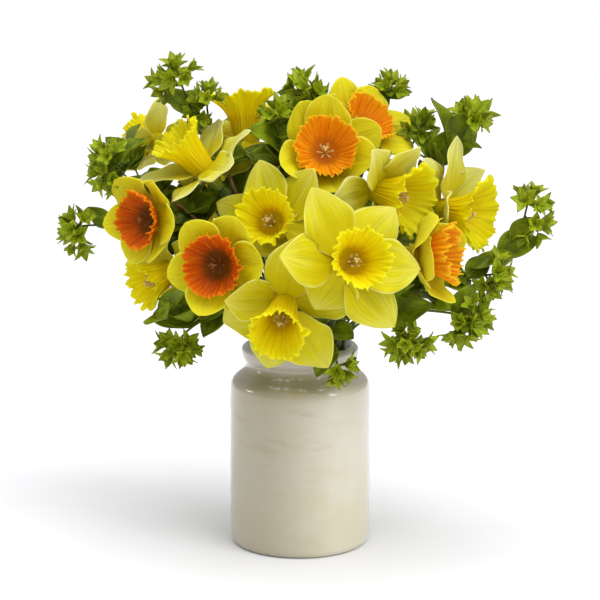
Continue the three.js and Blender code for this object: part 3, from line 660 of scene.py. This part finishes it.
def glaze_material():
    """Cream with faint streaks, smeared at the shoulder, with painted shade down the left side, on the shoulder
    left of centre and round the neck.
    """
    s = Shader("glaze", Roughness=0.35, Coat_Weight=1.0, Coat_Roughness=0.05)
    spot = s.spot()
    x, y, z = s.node("ShaderNodeSeparateXYZ", spot).outputs

    def stretched(level, upright):
        return s.join(s.times(x, level), s.times(y, level), s.times(z, upright))

    clouds = s.noise(spot, 18.0, 4.0, 0.6)
    small = s.noise(spot, 70.0, 5.0, 0.65)
    streaks = s.noise(stretched(30.0, 120.0), 1.0)
    drips = s.noise(stretched(45.0, 9.0), 1.0)
    rings = s.noise(s.join(0.0, 0.0, s.times(z, 420.0)), 1.0, 2.0)
    base = s.mix(s.between(clouds, 0.36, 0.66), 0xCFCAB8, 0xC9C2A6)
    middle = s.times(s.between(z, 0.045, 0.08), s.between(z, 0.118, 0.1))
    smudged = s.times(s.between(streaks, 0.5, 0.74), s.scaled(middle, 0.3, 0.15))
    smudged = s.times(smudged, s.scaled(s.between(x, 0.034, 0.002), 0.9, 0.25))
    base = s.mix(smudged, base, 0xA79A6C)
    base = s.mix(s.times(s.between(drips, 0.52, 0.7), 0.25), base, 0xCFCABB)
    # olive pooled round the shoulder, and left of centre an olive smear that is partly painted shade of the
    # bouquet
    shoulder = s.times(s.between(z, 0.108, 0.122), s.between(z, 0.137, 0.127))
    shoulder_smear_and_shade = s.times(s.between(x, -0.05, -0.018), s.between(x, 0.03, -0.004))
    shoulder = s.times(shoulder, s.scaled(s.between(drips, 0.3, 0.7), 0.3, 0.5))
    base = s.mix(s.times(shoulder, s.scaled(shoulder_smear_and_shade, 0.8, 0.25)), base, 0xA79C68)
    # painted shade: the left side of the jar darker, as though lit from the right
    painted_left_shade = s.between(x, 0.034, -0.025)
    base = s.mix(s.times(painted_left_shade, 0.7), base, 0x90876A)
    # painted shade: the neck darker and greyer, as in the bouquet's shade
    neck = s.between(z, 0.128, 0.138)
    s.colour(s.mix(s.times(neck, 0.7), base, 0xB2AA9C))
    s.bump(s.calc("ADD", s.times(rings, 0.4), small), 0.1, 0.001)
    return s.material


def water_material():
    s = Shader("water", Roughness=0.02, IOR=1.33, Transmission_Weight=1.0)
    murk = s.noise(s.spot(), 30.0)
    s.colour(s.mix(murk, 0xEAF2EC, 0xD6E4D6))
    return s.material


PETAL = petal_material("petal", (0xC2AE00, 0xC6B800, 0xC8BF10, 0xD4CC50), 0.5, 0xD9D36A, 0xEAE68C)
PALE_PETAL = petal_material("pale_petal", (0xC2AE00, 0xC8BC14, 0xCECA50, 0xD6D480), 0.6, 0xDCDA90, 0xECEAAC)
DEEP_PETAL = petal_material("deep_petal", (0xC09A00, 0xC6B000, 0xCCBE04, 0xD4CA1C), 0.35, 0xD6CC3A, 0xE6DE5A)
TRUMPET = corona_material(
    "trumpet", ((0.0, 0xCDB200), (0.35, 0xD6BC00), (0.75, 0xD8C202), (1.0, 0xDDCE0A)),
    0xD2AE08, 0.38, 0xC0A400, 0xDDD01C)
ORANGE_CUP = corona_material(
    "orange_cup", ((0.0, 0xC87000), (0.4, 0xDC8002), (0.8, 0xE28A06), (1.0, 0xE89A0E)),
    0xBC6800, 0.35, 0xC46400, 0xECA41A)
BURNT_CUP = corona_material(
    "burnt_cup", ((0.0, 0x7E3400), (0.4, 0xA84400), (0.8, 0xBC5000), (1.0, 0xCC6204)),
    0x6A3A00, 0.45, 0x9A3C00, 0xD27408)
STAMEN = stamen_material("stamen", 0xB89440, 0xE6D89A)
DARK_STAMEN = stamen_material("dark_stamen", 0x6A3A08, 0x8E5410)
STALK = stalk_material()
SHEATH = sheath_material()
LEAF = leaf_material("leaf", 0x5A6C04, 0x84960C, 0x526004)
BRACT = leaf_material("bract", 0x748804, 0xA6B416, 0x687204)
GLAZE = glaze_material()
WATER = water_material()


# Flowers

BLOOMS = []  # the search trees of the petals, trumpets and cups, for leaves to keep clear of


def seat(made, slot, *nodes):
    """Lets a finished piece ride on the body, in place of its CAD nodes."""
    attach(made, "root")
    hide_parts(*nodes)


def seat_bloom(piece, name, material, slot, node):
    BLOOMS.append(piece.tree())
    seat(piece.make(name, [material]), slot, node)


def petal(piece, form, flower, index, plan, rng):
    turn, lift, share = (*plan, 1)[:3]
    angle, size, curl = math.radians(turn), flower["size"], flower.get("curl", form["curl"])
    front = index % 2 == 0
    length = form["reach"] * size * share - PETAL_ROOT
    swell, twist = rng.uniform(0, FULL_TURN), rng.uniform(-PETAL_TWIST, PETAL_TWIST)
    ripple = form["ripple"] * rng.uniform(0.7, 1.3)
    ripples, tip = rng.uniform(1.2, 2.4), rng.uniform(-TIP_BEND, TIP_BEND)

    def surface(u, v):
        tilt, middle = np.radians(lift + curl * v), np.sin(math.pi * v)
        belly = np.abs(np.sin(math.pi * v ** form["power"])) ** form["fullness"]
        half = form["half_width"] * (PETAL_TIP + (1 - PETAL_TIP) * belly)
        side = half * size * u + PETAL_LEAN * twist * v * v
        radius = PETAL_ROOT + length * v * np.cos(tilt)
        fold = form["channel"] * u * u * middle * (1 if front else BACK_FOLD)
        wave = PETAL_WAVE * u * np.sin(PETAL_WAVES * v + PETAL_PHASE * index) * v * (1 - v) + twist * side * v
        rim = ripple * np.abs(u) ** RIPPLE_POWER * np.sin(FULL_TURN * ripples * v + swell + np.sign(u)) * middle
        groove = RIB_HEIGHT * np.cos(RIBS * u) * middle - GROOVE_DEPTH * np.exp(-(u / GROOVE_WIDTH) ** 2) * middle
        layer = PETAL_LAYER if front else -PETAL_LAYER
        height = layer + length * v * np.sin(tilt) + fold + wave + rim + groove + tip * v ** 5
        return np.stack([
            side * math.cos(angle) + radius * math.sin(angle),
            -side * math.sin(angle) + radius * math.cos(angle),
            height], axis=2)

    blade(piece, PETAL_GRID, PETAL_THICKNESS, surface, *pose(flower), rng.uniform(0, 9))


def perianth(name, flower, rng):
    """The six petals on their ring, and the tube behind them."""
    piece = Piece()
    for index, plan in enumerate(flower["petals"]):
        petal(piece, ROUND if flower["cup"] else STAR, flower, index, plan, rng)
    radius = [0, TUBE_RADIUS - 0.4, TUBE_RADIUS, 3.9, 5.2, 7.2, HUB_RADIUS - 0.3, HUB_RADIUS - 0.4, 7, 0]
    height = [-TUBE_LENGTH, -TUBE_LENGTH, -TUBE_LENGTH + 0.5, -13, -8, -4, -1, 1, 2.4, 2.6]
    along = np.array([-1, -1, -0.7, -0.4, -0.2, 0, 0, 0])
    revolve(piece, radius, height, TUBE_SIDES, *pose(flower), places=(along, -np.ones(len(along))))
    if flower["cup"]:
        material = DEEP_PETAL
    else:
        material = PALE_PETAL if flower["tone"] == "pale" else PETAL
    seat_bloom(piece, f"perianth_{name}", material, "yellow_petal", f"daffodil_{name}")


def ruffles(rng, cycles):
    """An uneven wave round the rim, within about -1 to 1, that closes on itself."""
    phases = rng.uniform(0, FULL_TURN, (len(cycles), 2))
    strengths = rng.uniform(0.7, 1.3, len(cycles))

    def wave(angle):
        total = 0
        for cycle, (phase, drift), strength in zip(cycles, phases, strengths):
            total = total + strength * np.sin(cycle * angle + phase + 0.9 * np.sin(3 * angle + drift))
        return total / len(cycles) ** 0.5

    return wave


def trumpet(name, flower, rng):
    size = flower["size"]
    length, rim = TRUMPET_LENGTH * size * flower["deep"], TRUMPET_RADIUS * size * flower["bell"]
    waist = TRUMPET_FOOT + WAIST * size * flower["waist"]

    def wall(t):
        return TRUMPET_FOOT + (waist - TRUMPET_FOOT) * t + (rim - waist) * beyond(t, FLARE_START) ** FLARE_POWER

    def lining(t):
        widened = np.clip(t / THROAT_DEPTH, 0, 1) ** THROAT_POWER
        return THROAT_RADIUS + (wall(t) - SHEET - THROAT_RADIUS) * widened

    outer, inner = np.linspace(0, 1, 26), np.linspace(1, (TRUMPET_FLOOR + 0.6) / length, 22)
    radius = np.concatenate([[0], wall(outer), lining(inner), [2.4, 0]])
    height = np.concatenate([[-1], outer * length, inner * length + 0.1, [TRUMPET_FLOOR + 0.3, TRUMPET_FLOOR]])
    lobes, crimps, teeth, lean, folds = (ruffles(rng, cycles) for cycles in TRUMPET_WAVES)

    def reshape(r, z, a):
        share = np.clip(z / length, 0, 1)
        flare, high, edge = beyond(share, 0.35) ** 2, beyond(share, 0.72) ** 1.5, beyond(share, 0.93)
        r = r + 0.3 * folds(a) * np.sin(math.pi * share) ** 2 + 0.9 * lobes(a) * flare
        r = r + high * (1.2 * crimps(a) + 0.8 * np.abs(lobes(a))) + 0.5 * edge * teeth(a)
        z = z + 1.4 * flare * lean(a) + 1.2 * high * crimps(a + 0.09)
        return r, z + 0.6 * edge * teeth(a + 0.03)

    places = (np.concatenate([outer, inner, [0.0]]), np.concatenate([-np.ones(26), np.ones(23)]))
    piece = Piece()
    revolve(piece, radius, height, TRUMPET_SIDES, *pose(flower), reshape, places, rng.uniform(0, 9))
    seat_bloom(piece, f"trumpet_{name}", TRUMPET, "yellow_petal", f"daffodil_{name}")


def orange_cup(name, flower, rng):
    size = flower["size"]
    depth, rim = CUP_DEPTH * size * flower["deep"], CUP_RADIUS * size * flower["bell"]
    low, base = HUB_RADIUS - CUP_INSET, FLOOR + 0.3

    def wall(t):
        return low + (rim - low) * (1.25 * t - 0.25 * t ** 2)

    outer, inner = np.linspace(0, 1, 22), np.linspace(1, 0.06, 20)
    radius = np.concatenate([[0], wall(outer), wall(inner) - SHEET, [2.6, 0]])
    height = np.concatenate([[base], outer ** 1.25 * depth + base, inner ** 1.25 * depth + base + 0.5,
                             [base + 0.6, base + 0.5]])
    lobes, crimps, teeth, pleats = (ruffles(rng, cycles) for cycles in CUP_WAVES)

    def reshape(r, z, a):
        share = np.clip((z - base) / depth, 0, 1)
        high, edge = beyond(share, 0.25) ** 1.4, beyond(share, 0.88)
        r = r + 0.5 * pleats(a) * share + high * (1.0 * lobes(a) + 0.8 * crimps(a)) + 0.5 * edge * teeth(a)
        z = z + 0.5 * pleats(a + 0.05) * share + high * (1.2 * lobes(a + 0.4) + 1.3 * crimps(a + 0.08))
        return r, z + 0.6 * edge * teeth(a + 0.03)

    places = (np.concatenate([outer, inner, [0.0]]), np.concatenate([-np.ones(22), np.ones(21)]))
    piece = Piece()
    revolve(piece, radius, height, CUP_SIDES, *pose(flower), reshape, places, rng.uniform(0, 9))
    material = BURNT_CUP if flower["tone"] == "burnt" else ORANGE_CUP
    seat_bloom(piece, f"cup_wall_{name}", material, "orange_cup", f"cup_{name}")


def stamens(name, flower, rng):
    """Six anthers on their filaments round the style, whose tip has three lobes."""
    place, hub = pose(flower)
    bottom, top, spread, lean_out, length, half_width = ANTHERS[flower["cup"]]
    piece = Piece()

    def rod(start, end, start_radius, end_radius):
        share = np.linspace(0, 1, 6)[:, None]
        path = (np.array(start) * (1 - share) + np.array(end) * share) @ place.T + hub
        tube(piece, path, np.linspace(start_radius, end_radius, 6), 8)

    def grain(centre, along, long, wide):
        share = np.linspace(-1, 1, 9)
        path = (np.array(centre) + share[:, None] * np.array(along) * long / 2) @ place.T + hub
        tube(piece, path, wide * np.sqrt(np.maximum(1 - share ** 4, 0.04)), 8)

    for step in range(6):
        angle = math.radians(60 * step + rng.uniform(-9, 9))
        out = polar(angle, 1, 0)
        foot, tip = 1.6 * out + [0, 0, bottom], spread * out + [0, 0, top - 4]
        rod(foot, tip, 0.45, 0.4)
        lean = unit(out * lean_out + [0, 0, 1])
        grain(tip + lean * 1.5, lean, length, half_width)
    crown = np.array([0, 0, top + 3.0])
    rod([0, 0, bottom], crown, 0.7, 0.6)
    for step in range(3):
        angle = math.radians(120 * step + 20)
        grain(crown + polar(angle, 1, 0.2), polar(angle, 1, 0.4), 2.4, 0.9)
    made = piece.make(f"stamens_{name}", [DARK_STAMEN if flower["tone"] == "burnt" else STAMEN])
    if flower["cup"]:
        seat(made, "orange_cup", f"cup_{name}")
    else:
        seat(made, "yellow_petal", f"daffodil_{name}")


def stalk(name, flower, rng):
    """The stem from its foot in the water to the flower, with its ovary and its papery sheath."""
    place, hub = pose(flower)
    forward = place[:, 2]
    end = hub - forward * (TUBE_LENGTH + 0.3 + 0.5 * OVARY_LENGTH)
    mouth = in_neck(flower["stand"], NECK_EXIT)
    controls = (mouth, mouth + [0, 0, RISE], hub - forward * (TUBE_LENGTH + NECK_PULL), end)
    path = stem_path(flower["stand"], controls, 28)
    taper = np.interp(np.arange(len(path)), [0, 12, len(path) - 1], [STEM_RADIUS, STEM_RADIUS, STEM_RADIUS * 0.85])
    piece = Piece()
    tube(piece, path, taper, STEM_SIDES)
    share = np.linspace(0, 1, 12)
    swell = np.where(share < OVARY_BELLY, np.sin(math.pi / 2 * share / OVARY_BELLY),
                     1 - 0.19 * ((share - OVARY_BELLY) / (1 - OVARY_BELLY)) ** 2)
    radius = np.concatenate([[0], np.maximum(OVARY_RADIUS * swell, 0.4), [0]])
    height = np.concatenate([[0], share, [1]]) * OVARY_LENGTH - (TUBE_LENGTH + 0.3) - OVARY_LENGTH
    revolve(piece, radius, height, 18, place, hub)
    neck = bend_points(controls, [SHEATH_PLACE])[0]
    along = unit(end - neck)
    away = unit(np.array([0, 0, 1.0]) - along * along[2])
    curl, phase = rng.uniform(-4, 4), rng.uniform(0, 6)

    def surface(u, v):
        half = SHEATH_HALF * np.sin(math.pi * (0.12 + 0.88 * v) ** 0.8) ** 0.8 + 0.25
        crinkle = 0.5 * np.sin(9 * v + 5 * u + phase) * v
        height = SHEATH_ROLL * (1 - u * u) + curl * v ** 2 + crinkle
        return np.stack([half * u + curl * 0.5 * v ** 2, SHEATH_LENGTH * v, height], axis=2)

    turn = growing(unit(along + 0.35 * away), away)
    blade(piece, (10, 18), 0.5, surface, turn, neck, rng.uniform(0, 9), slot=1)
    seat(piece.make(f"stalk_{name}", [STALK, SHEATH]), "stalk_green", f"stem_{name}")


# Greenery

def bract(piece, turn, origin, angle, rise, length, half_width, rng):
    """One pointed bract of a ring. rise is its angle above the ring's plane, in degrees."""
    rise = math.radians(rise)
    out = polar(angle, math.cos(rise), math.sin(rise))
    side = np.array([math.sin(angle), -math.cos(angle), 0])
    up = np.cross(side, out)
    twist, hook = rng.uniform(-0.3, 0.3), rng.uniform(-0.25, 0.1)

    def surface(u, v):
        half = half_width * np.sin(math.pi * (0.08 + 0.92 * v) ** 0.85) ** 0.9 + 0.1
        height = 0.35 * half * np.abs(u) ** 1.3 + twist * half * u + hook * length * v ** 2
        return (half * u)[..., None] * side + (length * v)[..., None] * out + height[..., None] * up

    blade(piece, BRACT_GRID, BRACT_THICKNESS, surface, turn, origin, rng.uniform(0, 9), slot=1)


def bract_ring(piece, turn, origin, ring, size, stretch, rng):
    """A ring of bracts, with a plan such as BASE_BRACTS. stretch is for their length alone."""
    count, rise, length, half_width = ring
    start = rng.uniform(0, FULL_TURN)
    for step in range(count):
        angle = start + FULL_TURN * step / count + rng.uniform(-0.2, 0.2)
        bract(piece, turn, origin, angle, rise + rng.uniform(-12, 12),
              length * size * stretch * rng.uniform(0.85, 1.1), half_width * size, rng)


def floret(piece, turn, origin, radius, rng):
    share = np.linspace(0, 1, 5)
    revolve(piece, np.sin(math.pi * share) * radius, (share - 0.5) * 2.4 * radius, 6, turn, origin, slot=1,
            seed=rng.uniform(0, 9))


def umbel(piece, point, azimuth, elevation, size, reach, rng):
    """An open dome of small heads on short rays, each with a ring of pointed bracts round a few florets."""
    axis = heading(azimuth, elevation)
    centre = point + axis * reach
    turn = looking_along(axis)
    if reach:
        tube(piece, [point + axis * reach * s for s in (0, 0.5, 1)], TWIG_RADIUS * 0.8, TWIG_SIDES)
    bract_ring(piece, turn, centre, BASE_BRACTS, size, 1, rng)
    start = rng.uniform(0, FULL_TURN)
    rays = [(rng.uniform(*OUTER_LEAN), start + FULL_TURN * (step + rng.uniform(-0.15, 0.15)) / OUTER_RAYS)
            for step in range(OUTER_RAYS)]
    rays.append((rng.uniform(*INNER_LEAN), start))
    for lean, angle in rays:
        lean = math.radians(lean)
        ray = turn @ polar(angle, math.sin(lean), math.cos(lean))
        head = centre + ray * UMBEL_RAY * size * rng.uniform(0.75, 1.2)
        tube(piece, [centre, (centre + head) / 2, head], RAY_RADIUS, 6)
        facing = looking_along(unit(ray + [0, 0, 0.05]))
        bract_ring(piece, facing, head, HEAD_BRACTS, size, rng.uniform(0.8, 1.15), rng)
        for angle in FLORET_ANGLES:
            floret(piece, facing, head + facing @ polar(angle, 1.1, 1.6), 0.8 * size, rng)


def leaf(piece, point, azimuth, elevation, length, rng):
    along = heading(azimuth, elevation)
    outwards = unit(np.array([point[0], point[1] - LEAF_CENTRE, 0.0]))
    turn = growing(along, 0.7 * outwards + [0, 0, 0.7])
    twist, wave = rng.uniform(-0.2, 0.2), rng.uniform(0, 6)

    def surface(u, v):
        half = LEAF_WIDTH * length * np.sin(math.pi * v ** 0.8) ** 0.8 + 0.6 * (1 - v) ** 4 + 0.15
        height = LEAF_BEND * length * (u * u * (1 - v) - v * v) + 0.08 * length * np.abs(u) * np.sin(math.pi * v)
        height = height + twist * half * u + 0.03 * length * u ** 2 * np.sin(8 * v + wave)
        return np.stack([half * u, length * v, height], axis=2)

    blade(piece, LEAF_GRID, LEAF_THICKNESS, surface, turn, point, rng.uniform(0, 9), slot=2)


def clear_leaf(piece, point, azimuth, lowest, highest, shortest, longest, rng):
    """A small leaf, drawn again in another direction while it cuts a bloom, and left out if it always does."""
    for draw in range(LEAF_DRAWS):
        trial = Piece()
        leaf(trial, point, azimuth + GOLDEN_ANGLE * draw, rng.uniform(lowest, highest),
             rng.uniform(shortest, longest), rng)
        body = trial.tree()
        if not any(body.overlap(tree) for tree in BLOOMS):
            piece.absorb(trial)
            return


def spray(name, plan, rng):
    mouth = in_neck(plan["stand"], NECK_EXIT)
    controls = (mouth, mouth + [0, 0, RISE], np.array(plan["arch"], float), np.array(plan["tip"], float))
    path = stem_path(plan["stand"], controls, 24)
    piece = Piece()
    tube(piece, path, np.linspace(TWIG_RADIUS * 1.1, TWIG_RADIUS * 0.75, len(path)), TWIG_SIDES)

    def twig_point(place):
        return bend_points(controls, [place])[0]

    for place, azimuth, elevation, size, reach in plan["stars"]:
        umbel(piece, twig_point(place), azimuth, elevation, size, reach, rng)
    for place, azimuth, elevation, length in plan["leaves"]:
        leaf(piece, twig_point(place), azimuth, elevation, length, rng)
    for step, place in enumerate(np.linspace(*INNER_LEAVES)):
        azimuth = GOLDEN_ANGLE * step + rng.uniform(-25, 25)
        clear_leaf(piece, twig_point(place), azimuth, *INNER_DRAW, rng)
    for place, end in plan["sprigs"]:
        start, end = twig_point(place), np.array(end, float)
        line = bend_points((start, (start + end) / 2 + [0, 0, 6], end, end), np.linspace(0, 1, 8))
        tube(piece, line, TWIG_RADIUS * 0.7, 6)
        for step in range(SPRIG_LEAVES):
            azimuth = GOLDEN_ANGLE * step + rng.uniform(-30, 30)
            clear_leaf(piece, line[-1 - step], azimuth, *SPRIG_DRAW, rng)
    seat(piece.make(f"greenery_{name}", [STALK, BRACT, LEAF]), "leaf_green", f"spray_{name}")


# The jar

def arc(centre, radius, start, end, steps):
    angle = np.radians(np.linspace(start, end, steps))
    return np.stack([centre[0] + radius * np.cos(angle), centre[1] + radius * np.sin(angle)], axis=1)


def curve(points, steps):
    """Points on a curve of three or four control points, in the plane of the jar's outline."""
    t = np.linspace(0, 1, steps)[:, None]
    points = [np.array(p, float) for p in points]
    while len(points) > 1:
        points = [(1 - t) * a + t * b for a, b in zip(points, points[1:])]
    return points[0]


def jar():
    inner, mouth = JAR_RADIUS - JAR_WALL, NECK_RADIUS - JAR_WALL
    edge, lip, rim = JAR_RADIUS - BASE_ROUND, JAR_HEIGHT - LIP_ROUND, LIP_RADIUS - LIP_ROUND
    outline = np.concatenate([
        [[0, 0], [BASE_FLAT, 0], [edge, 0]],
        arc((edge, BASE_ROUND), BASE_ROUND, -80, 0, 8),
        [[JAR_RADIUS, z] for z in np.linspace(12, SHOULDER_BOTTOM, 12)],
        curve(((JAR_RADIUS, SHOULDER_BOTTOM), (JAR_RADIUS, SHOULDER_BOTTOM + SHOULDER_PULL),
               (NECK_RADIUS, SHOULDER_TOP - NECK_PULL_DOWN), (NECK_RADIUS, NECK_HEIGHT)), 16)[1:],
        curve(((NECK_RADIUS, NECK_HEIGHT), (LIP_RADIUS, NECK_HEIGHT + LIP_SPREAD), (LIP_RADIUS, lip)), 8)[1:],
        arc((rim, lip), LIP_ROUND, 8, 90, 10),
        curve(((rim, JAR_HEIGHT), (mouth, JAR_HEIGHT - MOUTH_DROP), (mouth, NECK_HEIGHT)), 8)[1:],
        curve(((mouth, NECK_HEIGHT), (mouth, SHOULDER_TOP - INNER_SHOULDER),
               (inner, SHOULDER_BOTTOM + INNER_SHOULDER), (inner, SHOULDER_BOTTOM - INNER_SHOULDER)), 12)[1:],
        [[inner, 60], [inner, JAR_FLOOR], [BASE_FLAT, JAR_FLOOR], [0, JAR_FLOOR]]])

    def reshape(r, z, a):
        uneven = 0.22 * np.sin(0.31 * z + 1) + 0.2 * np.cos(2 * a + 0.02 * z) + 0.12 * np.cos(3 * a - 1)
        return r + uneven * np.clip(z / 20, 0, 1) * (r > mouth + 1), z

    piece = Piece()
    revolve(piece, outline[:, 0], outline[:, 1], JAR_SIDES, np.eye(3), np.zeros(3), reshape)
    seat(piece.make("glazed_jar", [GLAZE]), "glaze", "jar")


def bouquet():
    for order, (name, flower) in enumerate(FLOWERS.items()):
        rng = np.random.default_rng(100 + order)
        perianth(name, flower, rng)
        if flower["cup"]:
            orange_cup(name, flower, rng)
        else:
            trumpet(name, flower, rng)
        stamens(name, flower, rng)
        stalk(name, flower, rng)
    for order, (name, plan) in enumerate(SPRAYS.items()):
        spray(name, plan, np.random.default_rng(300 + order))


def water():
    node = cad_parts["water"]
    node.data.materials.clear()
    node.data.materials.append(WATER)


# Studio

def camera():
    data = bpy.data.cameras.new("camera")
    data.lens, data.sensor_width = CAMERA_LENS, CAMERA_SENSOR
    data.clip_start, data.clip_end = 0.05, 20
    made = link(bpy.data.objects.new("camera", data))
    back = Vector((0, -math.cos(CAMERA_ELEVATION), math.sin(CAMERA_ELEVATION)))
    made.location = CAMERA_TARGET + back * CAMERA_DISTANCE
    made.rotation_euler = (-back).to_track_quat("-Z", "Y").to_euler()
    bpy.context.scene.camera = made


def floor():
    mesh = bpy.data.meshes.new("floor")
    corners = [(x * FLOOR_HALF, y * FLOOR_HALF, 0) for x, y in ((-1, -1), (1, -1), (1, 1), (-1, 1))]
    mesh.from_pydata(corners, [], [(0, 1, 2, 3)])
    s = Shader("floor", Roughness=0.9)
    grain = s.noise(s.spot(), 3.0)
    s.colour(s.mix(grain, 0xECECEF, 0xEAEAED))
    mesh.materials.append(s.material)
    made = link(bpy.data.objects.new("floor", mesh))


def sun(name, azimuth, elevation, strength, spread):
    data = bpy.data.lights.new(name, "SUN")
    data.energy, data.angle = strength, math.radians(spread)
    made = link(bpy.data.objects.new(name, data))
    made.rotation_euler = Vector(heading(azimuth, elevation)).to_track_quat("Z", "Y").to_euler()


def studio():
    """A white room: bright to the camera, and softer as light, so that the suns model the forms."""
    world = bpy.data.worlds.new("studio")
    world.use_nodes = True
    tree = world.node_tree
    sky, rays = tree.nodes["Background"], tree.nodes.new("ShaderNodeLightPath")
    sky.inputs["Color"].default_value = (1, 1, 1, 1)
    strength = tree.nodes.new("ShaderNodeMapRange")
    strength.inputs["To Min"].default_value = WORLD_LIGHT
    tree.links.new(rays.outputs["Is Camera Ray"], strength.inputs["Value"])
    tree.links.new(strength.outputs[0], sky.inputs["Strength"])
    bpy.context.scene.world = world
    bpy.context.scene.view_settings.view_transform = "Standard"
    for name, plan in SUNS.items():
        sun(name, *plan)


camera()
jar()
water()
bouquet()
floor()
studio()
